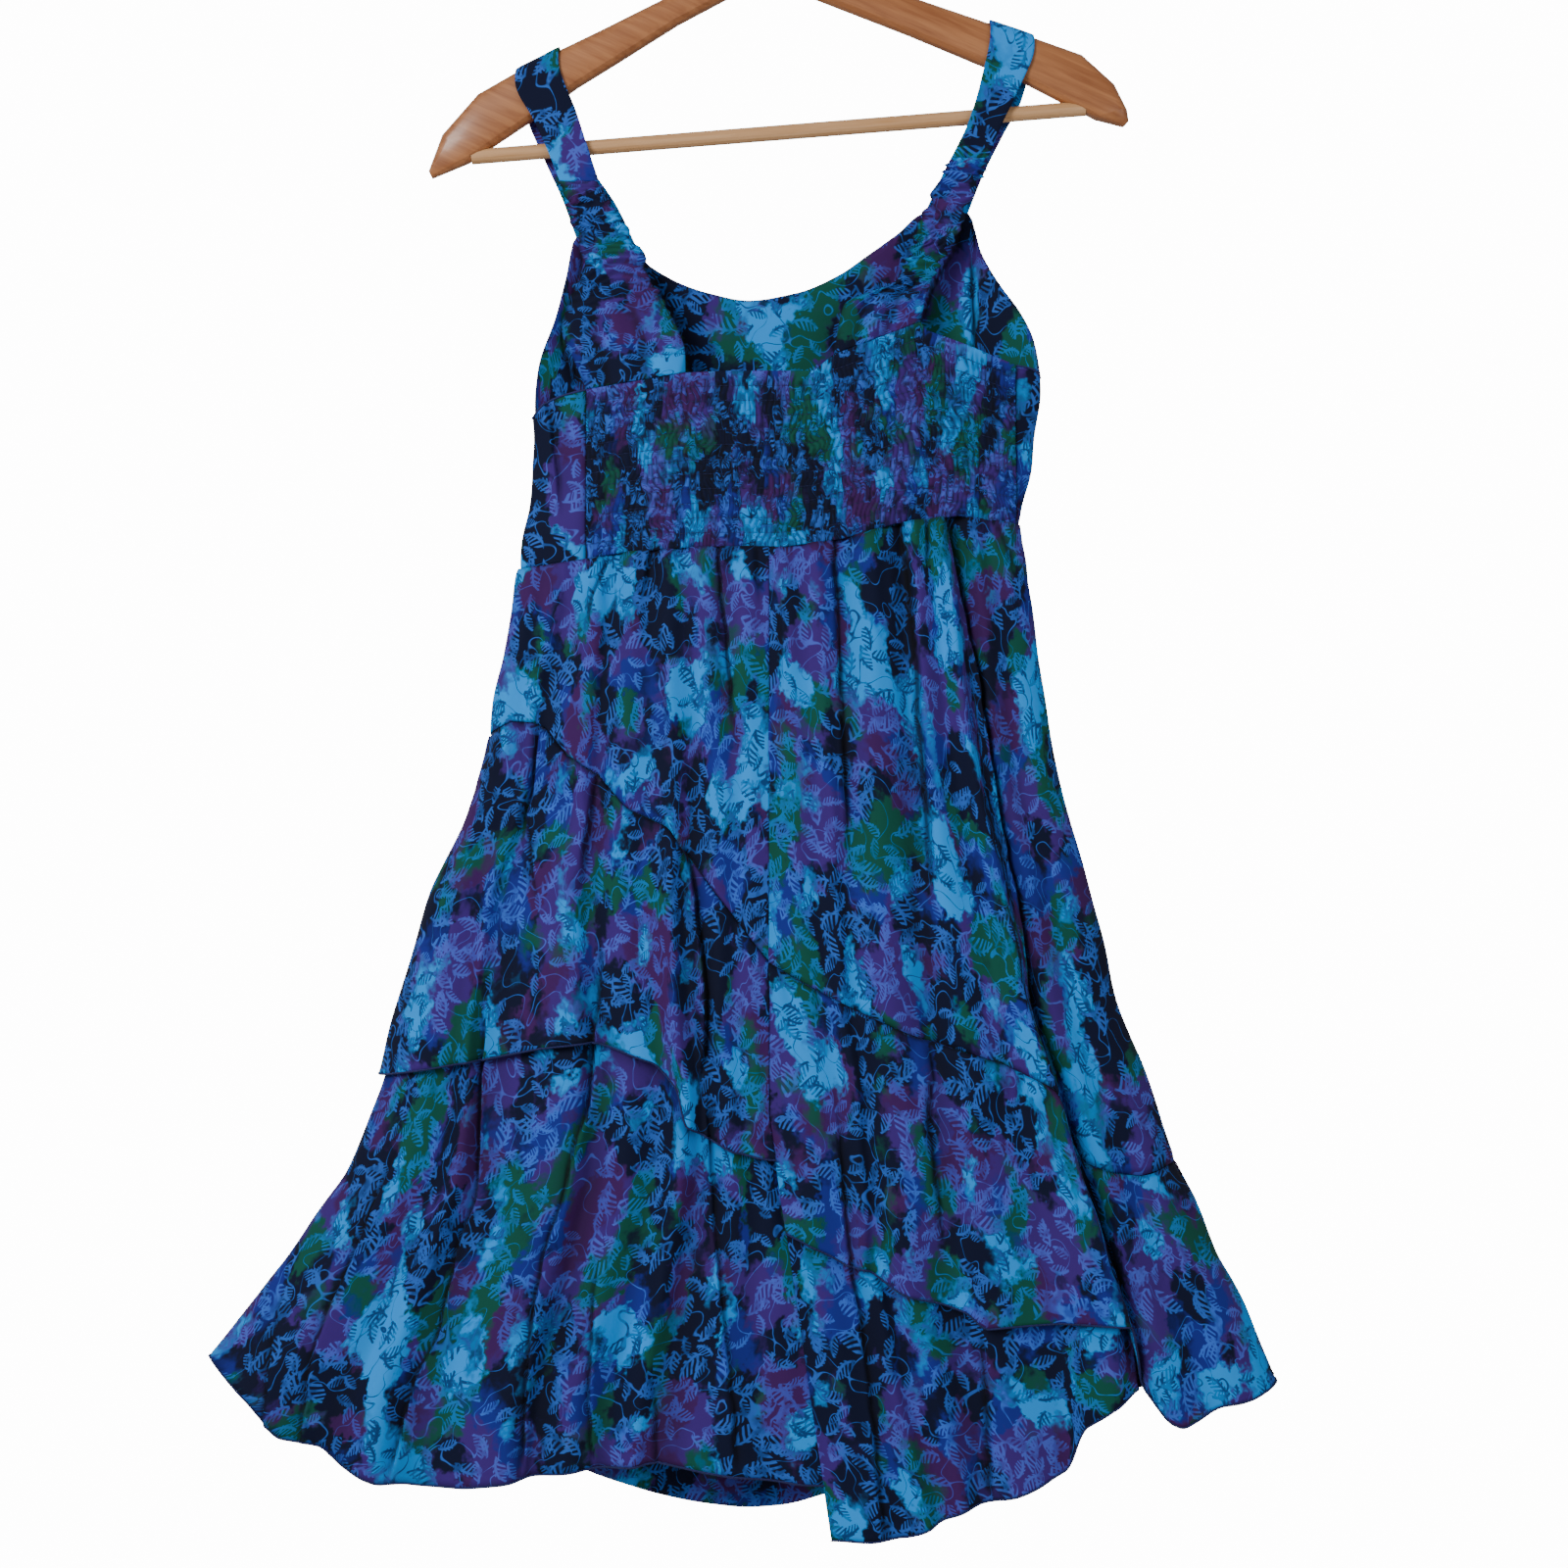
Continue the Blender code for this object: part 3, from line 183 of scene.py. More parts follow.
def smoothCurve(knots, values, at):
    # monotone cubic through the table, so that nothing overshoots between its rows
    knots, values = np.asarray(knots, float), np.asarray(values, float)
    step, rise = np.diff(knots), np.diff(values)
    slope = rise / step
    tangent = np.zeros(len(knots))
    same = slope[:-1] * slope[1:] > 0
    tangent[1:-1][same] = 2 * slope[:-1][same] * slope[1:][same] / (slope[:-1][same] + slope[1:][same])
    tangent[0], tangent[-1] = slope[0], slope[-1]
    at = np.clip(np.asarray(at, float), knots[0], knots[-1])
    i = np.clip(np.searchsorted(knots, at) - 1, 0, len(step) - 1)
    t = (at - knots[i]) / step[i]
    t2, t3 = t * t, t * t * t
    return ((2 * t3 - 3 * t2 + 1) * values[i] + (t3 - 2 * t2 + t) * step[i] * tangent[i]
            + (3 * t2 - 2 * t3) * values[i + 1] + (t3 - t2) * step[i] * tangent[i + 1])


def eased(t):
    t = np.clip(t, 0.0, 1.0)
    return t * t * (3 - 2 * t)


def easedBetween(values, at):
    # from one crest to the next, flat at both
    i = np.clip(np.floor(at).astype(int), 0, len(values) - 2)
    return values[i] + (values[i + 1] - values[i]) * eased(at - i)


def softNoise(u, v, seed):
    # smooth random heights from -1 to 1, one cell a unit
    random = np.random.default_rng(int(seed)).uniform(-1, 1, (256, 256))
    iu, iv = np.floor(u).astype(int), np.floor(v).astype(int)
    fu, fv = eased(u - iu), eased(v - iv)
    a, b = random[iu % 256, iv % 256], random[(iu + 1) % 256, iv % 256]
    c, d = random[iu % 256, (iv + 1) % 256], random[(iu + 1) % 256, (iv + 1) % 256]
    return (a + (b - a) * fu) * (1 - fv) + (c + (d - c) * fu) * fv


def formAt(drop):
    return [smoothCurve(formTable[:, 0], formTable[:, k], drop) for k in (1, 2, 3)]


def angleOf(x, drop, side):
    left, right, depth = formAt(drop)
    angle = np.arccos(1 - 2 * np.clip((x - left) / (right - left), 0, 1))
    return angle if side < 0 else 2 * math.pi - angle


def formX(angle, drop):
    left, right, depth = formAt(drop)
    return (left + right) / 2 - (right - left) / 2 * np.cos(angle)


def onForm(angle, drop, out):
    # angle 0 is the left outline, pi the right one, the back between them
    left, right, depth = formAt(drop)
    half = (right - left) / 2
    nx, ny = -np.cos(angle) * depth, -np.sin(angle) * half
    size = np.hypot(nx, ny)
    x = formX(angle, drop) + nx / size * out
    y = -depth * np.sin(angle) + ny / size * out
    return np.stack([x, y, -drop + 0 * x], axis=-1)


pleat = {
    "waver": 0.0006,  # how far an edge strays from its line
    "lip": 1.35, "trough": 0.9,  # heights beside the edge, in depths
    "troughWide": 0.35,  # in widths of the lip
    "step": 0.0016, "groove": 0.0014, "grooveAway": 0.0011,
    "darkDepth": 0.0026,  # a pleat this deep gets the darkest painted shade
}


def pleatHeight(pleats, x, drop):
    total, shade = np.zeros_like(x), np.zeros_like(x)
    for lip, *sizes, line in pleats:
        depth, width, fadeTop, fadeFoot = np.array(sizes) / 1000
        drops, xs = np.array(line).T / 1000
        away = (x - smoothCurve(drops, xs, drop)) * lip
        away = away + pleat["waver"] * softNoise(drop * 90, drop * 0 + depth * 1e4, 5)
        strength = eased((drop - drops[0] + 0.001) / fadeTop) * eased((drops[-1] - drop) / fadeFoot)
        raised = pleat["lip"] * depth * np.exp(-np.clip(away, 0, None) / width)
        sunk = -pleat["trough"] * depth * np.exp(np.clip(away, None, 0) / (pleat["troughWide"] * width))
        step = eased(away / pleat["step"] + 0.5)
        total += strength * (raised * step + sunk * (1 - step))
        # painted shade along the pleat's edge, and a softer painted shadow beside it on its low side
        groove = np.exp(-((away + pleat["grooveAway"]) / pleat["groove"]) ** 2)
        groove = groove + 0.6 * np.exp(np.clip(away, None, 0) / (0.6 * width)) * (away < 0)
        dark = strength * np.clip(groove, 0, 1) * min(1.0, depth / pleat["darkDepth"])
        shade = np.maximum(shade, dark)
    return total, shade


def linear(code):
    # sRGB hex to the linear numbers that the shaders use
    parts = [int(code[i:i + 2], 16) / 255 for i in (1, 3, 5)]
    return tuple(p / 12.92 if p <= 0.04045 else ((p + 0.055) / 1.055) ** 2.4 for p in parts) + (1.0,)


def feed(node, links):
    # a socket, or a node's first output, is linked to the input; anything else is set on it
    for key, value in links.items():
        if isinstance(value, bpy.types.Node):
            value = value.outputs[0]
        if isinstance(value, bpy.types.NodeSocket):
            node.id_data.links.new(value, node.inputs[key])
        else:
            node.inputs[key].default_value = value


def addNode(tree, kind, links=None, **settings):
    # a kind without its family is a shader node
    node = tree.nodes.new(kind if "Node" in kind else "ShaderNode" + kind)
    for key, value in settings.items():
        setattr(node, key, value)
    feed(node, links or {})
    return node


def addSockets(tree, inputs, output, kind):
    for name, inputKind in inputs:
        tree.interface.new_socket(name, in_out="INPUT", socket_type="NodeSocket" + inputKind)
    tree.interface.new_socket(output, in_out="OUTPUT", socket_type="NodeSocket" + kind)
    return addNode(tree, "NodeGroupInput").outputs


def newObject(name, data):
    obj = bpy.data.objects.new(name, data)
    bpy.context.scene.collection.objects.link(obj)
    return obj


# batik cotton

batik = {
    # each dye, then the wax line that crosses it
    "ground": ("#060F30", "#2F70D8"), "royal": ("#1B2A90", "#3E78EC"), "violet": ("#40247E", "#5068DC"),
    "plum": ("#42185E", "#4654C4"), "green": ("#045446", "#1C80CC"), "azure": ("#10A0FF", "#0A1650"),
    "blotch": 56.0,  # mm from one dye patch to the next
    "fern": 23.0, "curl": 13.0, "shoot": 17.0,  # mm from one wax motif to the next
    "lineShare": 0.85,
    # painted shade for folds, gathers and seams: how strong it gets, and its colour
    "paintedShadeStrength": 0.85,  # how dark the painted shade gets at most
    "paintedShade": "#04050C",
    # dyes from the lowest: name, shift of its patches, where they fade in and are full, what adds to them
    "layers": (("royal", 11.0, 0.45, 0.55, None), ("violet", 53.0, 0.47, 0.54, "Violet"),
               ("plum", 97.0, 0.56, 0.63, "Violet"), ("green", 139.0, 0.53, 0.61, "Green"),
               ("azure", 181.0, 0.57, 0.64, "Azure"), ("ground", 223.0, 0.54, 0.61, None)),
    # each piece's cloth: more or less azure, violet and green, and a shift of the whole print
    "cotton_blue": (0.0, 0.0, 0.0, 0.0), "cotton_violet": (-0.01, 0.02, 0.0, 410.0),
    "cotton_teal": (0.01, -0.01, 0.03, 760.0),
}
# the wax motif's steps: name, what is done, then numbers or earlier steps. Lengths in mm
fullTurn = 6.2832
motifSteps = (
    ("unit", "DIVIDE", "cell", 20.0),  # sizes go with the cell
    # curl: a line at a fixed turn plus radius over pitch
    ("around", "ARCTAN2", "across", "along"),
    ("aroundShare", "DIVIDE", "around", fullTurn),
    ("pitch", "MULTIPLY", "unit", 7.0),
    ("outShare", "DIVIDE", "radius", "pitch"),
    ("phase", "ADD", "aroundShare", "outShare"),
    ("phaseShare", "FRACT", "phase"),
    ("offLine", "SUBTRACT", "phaseShare", 0.5),
    ("offLineSize", "ABSOLUTE", "offLine"),
    ("offLineMm", "MULTIPLY", "offLineSize", "pitch"),
    ("curlLine", "RANGE", "offLineMm", 1.45, 0.85),
    ("curlReach", "MULTIPLY", "unit", 8.5),
    ("curlInside", "LESS_THAN", "radius", "curlReach"),
    ("curl", "MULTIPLY", "curlLine", "curlInside"),
    # fern: its stem bends, long strokes slant forward on one side of it and short ones on the other
    ("alongSquare", "POWER", "along", 2.0),
    ("bend", "MULTIPLY_ADD", "alongSquare", -0.045, "across"),
    ("offStem", "ABSOLUTE", "bend"),
    ("stem", "RANGE", "offStem", 1.15, 0.6),
    ("slant", "MULTIPLY_ADD", "offStem", -0.75, "along"),
    ("strokePitch", "MULTIPLY", "unit", 3.7),
    ("strokePhase", "DIVIDE", "slant", "strokePitch"),
    ("strokeShare", "FRACT", "strokePhase"),
    ("offStroke", "SUBTRACT", "strokeShare", 0.5),
    ("offStrokeSize", "ABSOLUTE", "offStroke"),
    ("strokes", "RANGE", "offStrokeSize", 0.29, 0.17),
    ("lengthShare", "DIVIDE", "along", "unit"),
    ("lengthSquare", "POWER", "lengthShare", 2.0),
    ("leafShare", "MULTIPLY_ADD", "lengthSquare", -0.0085, 1.0),
    ("leafWide", "MULTIPLY", "unit", 6.2),
    ("leafEdge", "MULTIPLY", "leafShare", "leafWide"),
    ("oneSide", "RANGE", "bend", -0.5, 0.5, 0.42, 1.25),
    ("sideEdge", "MULTIPLY", "leafEdge", "oneSide"),
    ("inLeaf", "LESS_THAN", "offStem", "sideEdge"),
    ("offGap", "GREATER_THAN", "offStem", 0.9),
    ("leafStrokes", "MULTIPLY", "strokes", "inLeaf"),
    ("freeStrokes", "MULTIPLY", "leafStrokes", "offGap"),
    ("stemEnds", "GREATER_THAN", "leafShare", 0.0),
    ("shortStem", "MULTIPLY", "stem", "stemEnds"),
    ("fern", "MAXIMUM", "freeStrokes", "shortStem"),
    ("isCurl", "LESS_THAN", "chance", 0.52),
)


def motifTree():
    # one wax motif in each cell: a curled shoot or a fern of short slanting strokes
    tree = bpy.data.node_groups.new("wax motif", "ShaderNodeTree")
    source = addSockets(tree, (("Vector", "Vector"), ("Cell", "Float"), ("Seed", "Float")), "Line", "Float")
    shifted = addNode(tree, "VectorMath", {0: source["Vector"], 1: source["Seed"]}, operation="ADD")
    scale = addNode(tree, "Math", {0: 1.0, 1: source["Cell"]}, operation="DIVIDE")
    cells = addNode(tree, "TexVoronoi", {"Vector": shifted, "Scale": scale, "Randomness": 0.75},
                    voronoi_dimensions="2D")
    local = addNode(tree, "VectorMath", {0: shifted, 1: cells.outputs["Position"]}, operation="SUBTRACT")
    chance = addNode(tree, "SeparateColor", {0: cells.outputs["Color"]})
    turn = addNode(tree, "Math", {0: chance, 1: fullTurn}, operation="MULTIPLY")
    turned = addNode(tree, "VectorRotate", {"Vector": local, "Angle": turn},
                     rotation_type="Z_AXIS")
    axes = addNode(tree, "SeparateXYZ", {0: turned})
    radius = addNode(tree, "VectorMath", {0: turned}, operation="LENGTH")
    made = {"cell": source["Cell"], "chance": chance.outputs[1], "radius": radius.outputs["Value"],
            "along": axes.outputs[0], "across": axes.outputs[1]}
    for name, operation, *inputs in motifSteps:
        links = {k: made.get(value, value) for k, value in enumerate(inputs)}
        if operation == "RANGE":
            made[name] = addNode(tree, "MapRange", links)
        else:
            made[name] = addNode(tree, "Math", links, operation=operation)
    line = addNode(tree, "Mix", {0: made["isCurl"], 2: made["fern"], 3: made["curl"]})
    addNode(tree, "NodeGroupOutput", {0: line})
    return tree


def batikTree():
    # hand-dyed patches with feathered edges, and wax-resist shoots and ferns over them
    tree = bpy.data.node_groups.new("batik dye", "ShaderNodeTree")
    inputs = [(name, "Float") for name in ("Azure", "Violet", "Green", "Shift")]
    source = addSockets(tree, inputs, "Color", "Color")
    uv = addNode(tree, "UVMap", uv_map="cloth")
    mm = addNode(tree, "VectorMath", {0: uv, "Scale": 1000.0}, operation="SCALE")
    place = addNode(tree, "VectorMath", {0: mm, 1: source["Shift"]}, operation="ADD")
    # dye runs a little down the cloth, and its edges are brushed out
    feather = addNode(tree, "TexNoise", {"Vector": place, "Scale": 0.16, "Detail": 2.5},
                      noise_dimensions="2D")
    brushed = feather.outputs[1]
    for operation, other in (("SUBTRACT", (0.5, 0.5, 0.5)), ("MULTIPLY", (13.0, 19.0, 0.0)), ("ADD", place),
                             ("MULTIPLY", (1.15, 0.85, 1.0))):
        brushed = addNode(tree, "VectorMath", {0: brushed, 1: other}, operation=operation)
    colour, lineColour = [linear(code) for code in batik["ground"]]
    for name, shift, low, high, more in batik["layers"]:
        moved = addNode(tree, "VectorMath", {0: brushed, 1: (shift * 7.0, shift * 3.0, 0.0)},
                        operation="ADD")
        field = addNode(tree, "TexNoise", {"Vector": moved, "Scale": 1.0 / batik["blotch"], "Detail": 1.6,
                                                     "Roughness": 0.5}, noise_dimensions="2D")
        if more:
            field = addNode(tree, "Math", {0: field, 1: source[more]}, operation="ADD")
        mask = addNode(tree, "MapRange", {0: field, 1: low, 2: high}, interpolation_type="SMOOTHSTEP")
        colour, lineColour = [
            addNode(tree, "Mix", {0: mask, 6: under, 7: linear(over)}, data_type="RGBA").outputs[2]
            for under, over in zip((colour, lineColour), batik[name])]
    # thin vines wander between the motifs
    vine = addNode(tree, "TexNoise", {"Vector": place, "Scale": 0.045, "Detail": 0.0, "Distortion": 0.7},
                   noise_dimensions="2D")
    vineOff = addNode(tree, "Math", {0: vine, 1: 0.5}, operation="SUBTRACT")
    vineSize = addNode(tree, "Math", {0: vineOff}, operation="ABSOLUTE")
    lines = addNode(tree, "MapRange", {0: vineSize, 1: 0.016, 2: 0.008})
    motif = motifTree()
    for name, seed in (("fern", 331.0), ("curl", 877.0), ("shoot", 1409.0)):
        wax = addNode(tree, "Group", {"Vector": place, "Cell": batik[name], "Seed": seed}, node_tree=motif)
        lines = addNode(tree, "Math", {0: lines, 1: wax}, operation="MAXIMUM")
    # the wax cracked here and there, so lines fade in places
    worn = addNode(tree, "TexNoise", {"Vector": place, "Scale": 0.11, "Detail": 2.0}, noise_dimensions="2D")
    wornShare = addNode(tree, "MapRange", {0: worn, 1: 0.34, 2: 0.52, 3: 0.4, 4: batik["lineShare"]})
    strength = addNode(tree, "Math", {0: lines, 1: wornShare}, operation="MULTIPLY")
    final = addNode(tree, "Mix", {0: strength, 6: colour, 7: lineColour}, data_type="RGBA")
    addNode(tree, "NodeGroupOutput", {0: final.outputs[2]})
    return tree


def plainMaterial(name, roughness):
    made = bpy.data.materials.new(name)
    made.use_nodes = True
    shader = made.node_tree.nodes["Principled BSDF"]
    feed(shader, {"Roughness": roughness})
    return made, made.node_tree, shader


def batikMaterial(name, dyes, azure, violet, green, shift):
    # matte plain-weave cotton, wax-resist dyed: it has soft sheen, no gloss
    made, tree, shader = plainMaterial(name, 0.82)
    dye = addNode(tree, "Group", {"Azure": azure, "Violet": violet, "Green": green, "Shift": shift},
                  node_tree=dyes)
    # painted shade: the sheet's shade attribute darkens the dye towards a near-black colour where folds,
    # gathers and seams would be in shadow
    paintedShade = addNode(tree, "Attribute", attribute_name="paintedShade")
    kept = addNode(tree, "Math", {0: paintedShade.outputs["Fac"], 1: batik["paintedShadeStrength"]}, operation="MULTIPLY")
    shaded = addNode(tree, "Mix", {0: kept, 6: dye.outputs[0], 7: linear(batik["paintedShade"])},
                     data_type="RGBA")
    # the weave is 0.3 mm in life; 0.9 mm here, so that it shows at this size
    uv = addNode(tree, "UVMap", uv_map="cloth")
    weave = addNode(tree, "TexNoise", {"Vector": uv, "Scale": 1100.0, "Detail": 1.0}, noise_dimensions="2D")
    bump = addNode(tree, "Bump", {"Strength": 0.18, "Distance": 0.0003, "Height": weave})
    feed(shader, {"Base Color": shaded.outputs[2], "Normal": bump, "Specular IOR Level": 0.22,
                  "Sheen Weight": 0.03, "Sheen Roughness": 0.5})
    return made


dyes = batikTree()
materials = {name: batikMaterial("batik_" + name, dyes, *batik[name])
             for name in ("cotton_blue", "cotton_violet", "cotton_teal")}
print("batik dyed")


# cloth sheets

pieces = {}  # each sheet's object and its points


def gridSheet(node, points, uv, shade, slotName, mirrored=False):
    # one sheet of cloth from rows of points, finished to a thin shell. Rows run down and columns to +x,
    # so that it faces -Y; a mirrored one faces the other way
    name = node + "_cloth"
    if mirrored:
        points, uv, shade = points[:, ::-1], uv[:, ::-1], shade[:, ::-1]
    rows, columns = points.shape[:2]
    index = np.arange(rows * columns).reshape(rows, columns)
    quads = np.stack([index[:-1, :-1], index[1:, :-1], index[1:, 1:], index[:-1, 1:]], axis=-1).reshape(-1, 4)
    mesh = bpy.data.meshes.new(name)
    mesh.from_pydata(points.reshape(-1, 3).tolist(), [], quads.tolist())
    layer = mesh.uv_layers.new(name="cloth")
    corners = np.empty(len(mesh.loops), np.int32)
    mesh.loops.foreach_get("vertex_index", corners)
    layer.data.foreach_set("uv", uv.reshape(-1, 2)[corners].astype(np.float32).ravel())
    paintedShadeLayer = mesh.attributes.new("paintedShade", "FLOAT", "POINT")  # painted shade: the material darkens the colour by this where folds, gathers and seams close up
    paintedShadeLayer.data.foreach_set("value", np.broadcast_to(shade, (rows, columns)).astype(np.float32).ravel())
    mesh.shade_smooth()
    mesh.materials.append(materials[slotName])
    obj = newObject(name, mesh)
    shell = obj.modifiers.new("cloth thickness", "SOLIDIFY")
    shell.thickness = cloth["thickness"]
    shell.offset = -1.0
    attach(obj, "root")
    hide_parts(node)
    pieces[node] = (obj, points)


def tierColumns(folds, side, cell, lines, centreEnd):
    # every fine column's angle, drop and fold height where it crosses each seam and hem
    hemX = folds[:, 3]
    count = int((hemX[-1] - hemX[0]) / cell)
    at = np.interp(np.linspace(hemX[0], hemX[-1], count), hemX, np.arange(len(folds)))
    fine = {"centreEnd": centreEnd, "seamPull": np.zeros(count)}
    if centreEnd:
        fine["seamPull"] = np.clip(1 - (len(folds) - 1 - at if centreEnd < 0 else at), 0, 1)
    # the side seams meet on the outline
    ends = ((0, 0.0 if side < 0 else 2 * math.pi, centreEnd != 1), (-1, math.pi, centreEnd != -1))
    for k, (key, line) in enumerate(lines.items()):
        x = smoothCurve(np.arange(len(folds)), folds[:, k], at)
        drop = np.pad(np.interp(x, *line.T), 2, mode="edge")
        drop = np.convolve(drop, np.ones(5) / 5, mode="valid")  # the line's corners are softened
        angle = angleOf(x, drop, side)
        for end, seamAngle, beside in ends:
            angle = angle + beside * (seamAngle - angle[end]) * np.clip(1 - np.abs(at - at[end]), 0, 1)
        fine[key] = (angle, drop, easedBetween(folds[:, k + 4], at))
    return fine


def between(first, second, share):
    return [a[None, :] + (b - a)[None, :] * share[:, None] for a, b in zip(first, second)]


def pullToCentreSeam(fine, angle, drop):
    # the columns next to the centre back seam follow it
    if not fine["centreEnd"]:
        return angle
    end = -1 if fine["centreEnd"] < 0 else 0
    seamX = np.interp(drop[:, end], *centreSeam.T) - fine["centreEnd"] * tierFit["seamShare"]
    off = angleOf(seamX, drop[:, end], -1) - angle[:, end]
    return angle + off[:, None] * fine["seamPull"][None, :]


loose = {"troughTop": 0.0005, "troughDepth": 0.0035, "broad": 0.0009, "fine": 0.00025, "ownArc": 0.65}


def looseHeight(side, x, drop, fold):
    # what the tables don't hold: crisp pleats, then soft unevenness. The broad troughs get painted shade
    height, shade = pleatHeight(backPleats if side < 0 else frontPleats, x, drop)
    trough = np.clip((loose["troughTop"] - fold) / loose["troughDepth"], 0, 1)
    soft = loose["broad"] * softNoise(x * 32 + 40, drop * 7, 11)
    soft = soft + loose["fine"] * softNoise(x * 110 + 40, drop * 30, 12)
    return height + soft, np.maximum(shade, cloth["troughShade"] * trough)


def gatherHeight(x, drop, below, height, reach, pitch, seed):
    # small uneven gathers that fade out below a seam
    ridge = softNoise(x / pitch + 0.6 * softNoise(drop * 60, x * 0, seed + 1), drop * 12, seed)
    return height * ridge * np.exp(-np.clip(below, 0, None) / reach)


def seamDip(away):
    return -cloth["seamDip"] * np.exp(-np.clip(away, 0, None) / cloth["seamDipReach"])


def clothUv(points, drop, fullness, shift):
    # the cloth's own metres: gathers squeeze the print across, never down
    arc = np.cumsum(np.linalg.norm(np.diff(points, axis=1, prepend=points[:, :1]), axis=-1), axis=1)
    arc = arc - arc.mean(axis=1, keepdims=True)
    u = (loose["ownArc"] * arc + (1 - loose["ownArc"]) * arc[-1:]) * fullness + shift
    return np.stack([u, -drop + shift], axis=-1)


# skirt tiers

tiers = {
    # each tier's upper and lower line, length for its rows, slot, fullness, place on the print
    "upper_skirt": ("empire", "seam", 0.34, "cotton_blue", 1.15, 0.0),
    "upper_flounce": ("seam", "flounce", 0.24, "cotton_violet", 1.1, 0.57),
    "lower_tier": ("flounce", "hem", 0.26, "cotton_blue", 1.05, 0.93),
}
gathers = {
    # height, reach, pitch and seed, then the shade in them and along the seam above
    "upper_skirt": (0.0016, 0.040, 0.0055, 21, 0.55, 0.5),
    "upper_flounce": (0.0017, 0.032, 0.0062, 41, 0.5, 0.6),
}
tierSides = {
    "back_left": ("left", -1, "backCell", "flounceLeft", "hemLeft", -1),
    "back_right": ("right", -1, "backCell", "flounceRight", "hemRight", 1),
    "front": ("front", 1, "frontCell", "flounceFront", "hemFront", 0),
}
tierFit = {
    "covered": 0.8, "coveredLength": 0.15,  # how far the lower tier slants with the flounce over it
    "seamShare": 0.0002,  # each side of an upright seam
    "lowSeamShade": 0.3, "edgeShade": 0.5,
    "seamShadow": 0.0012, "edgeShadow": 0.005,  # how far they reach
    "printShift": 0.31,  # from one side's cloth to the next
}


def rowShares(length, last=1.0):
    return np.linspace(0, last, int(length / cloth["rowCell"]))


for number, (sideName, facts) in enumerate(tierSides.items()):
    foldName, side, cell, flounceLine, hemLine, centreEnd = facts
    word = "Back" if side < 0 else "Front"
    lines = {"empire": edgeLines["empire" + word], "seam": edgeLines["seam" + word],
             "flounce": edgeLines[flounceLine], "hem": edgeLines[hemLine]}
    fine = tierColumns(foldTables[foldName], side, cloth[cell], lines, centreEnd)
    atSide = np.minimum(np.abs(np.sin(fine["seam"][0])) / 0.35, 1.0)
    lift = cloth["flounceSideLift"] + (cloth["flounceLift"] - cloth["flounceSideLift"]) * atSide
    for tier, (first, last, length, slotName, fullness, shift) in tiers.items():
        share = rowShares(length)
        if tier in gathers:
            angle, drop, fold = between(fine[first], fine[last], share)
        else:
            # the lower tier is caught in the same seam and hangs under the flounce
            coveredShare = rowShares(tierFit["coveredLength"], tierFit["covered"])
            covered = between(fine["seam"], fine[first], coveredShare)
            shown = between([part[-1] for part in covered], fine[last], share[1:])
            angle, drop, fold = [np.concatenate(pair) for pair in zip(covered, shown)]
        angle = pullToCentreSeam(fine, angle, drop)
        x = formX(angle, drop)
        height, shade = looseHeight(side, x, drop, fold)
        out, lap = fold + height, 0.0
        below, above = drop - fine[first][1], fine[last][1] - drop
        if tier in gathers:
            height, reach, pitch, seed, tuckShade, seamShade = gathers[tier]
            tuck = gatherHeight(x, drop, below, height, reach, pitch, seed + number)
            out = out + cloth["outside"] + tuck + seamDip(below)
            dark = seamShade * np.exp(-below / tierFit["seamShadow"])
            dark = dark + np.clip(-tuck / height, 0, 1) * tuckShade
        if tier == "upper_skirt":
            out = out + seamDip(above)
            dark = dark + tierFit["lowSeamShade"] * np.exp(-above / tierFit["seamShadow"])
        elif tier == "upper_flounce":
            # it lifts away from the tier below towards its hem
            out = out + lift * share[:, None]
            lap = cloth["seamLap"] * (1 - share[:, None])
        else:
            # the flounce's edge shades the tier just below it
            out = out + cloth["underLayer"]
            dark = tierFit["edgeShade"] * np.exp(-np.clip(below, 0, None) / tierFit["edgeShadow"])
        points = onForm(angle, drop + lap, out)
        uv = clothUv(points, drop, fullness, shift + tierFit["printShift"] * number)
        gridSheet(tier + "_" + sideName, points, uv, np.maximum(shade, dark), slotName, side > 0)
print("skirt tiers sewn")

# shirred back panel

panel = {  # its top in mm
    "left": -0.1058, "right": 0.1658, "height": 0.115, "fullness": 1.75,
    "top": ((-106, 345), (-43, 335), (-18, 334), (10, 334), (38, 334), (50, 324), (105, 303), (109, 308),
        (135, 317), (150, 323), (166, 329)),
    "rows": 12, "gatherPitch": 0.0036, "gatherHeight": 0.0014, "cell": 0.0008, "rowCell": 0.00105,
    "smoothTop": 0.007,  # the band above the first row of elastic
    "inset": 0.0004, "uneven": 0.0008, "bandRise": 0.0005, "printBunch": (0.0022, 0.0030), "speckleShade": 0.8,
}
across = int((panel["right"] - panel["left"]) / panel["cell"])
down = int(panel["height"] / panel["rowCell"])
x = np.broadcast_to(np.linspace(panel["left"], panel["right"], across), (down, across))
topLine = np.interp(x[0], *np.array(panel["top"]).T / 1000)
lowLine = np.interp(x[0], *edgeLines["empireBack"].T) + cloth["seamLap"]
share = np.linspace(0, 1, down)[:, None]
drop = topLine + (lowLine - topLine) * share
band = share * panel["rows"]
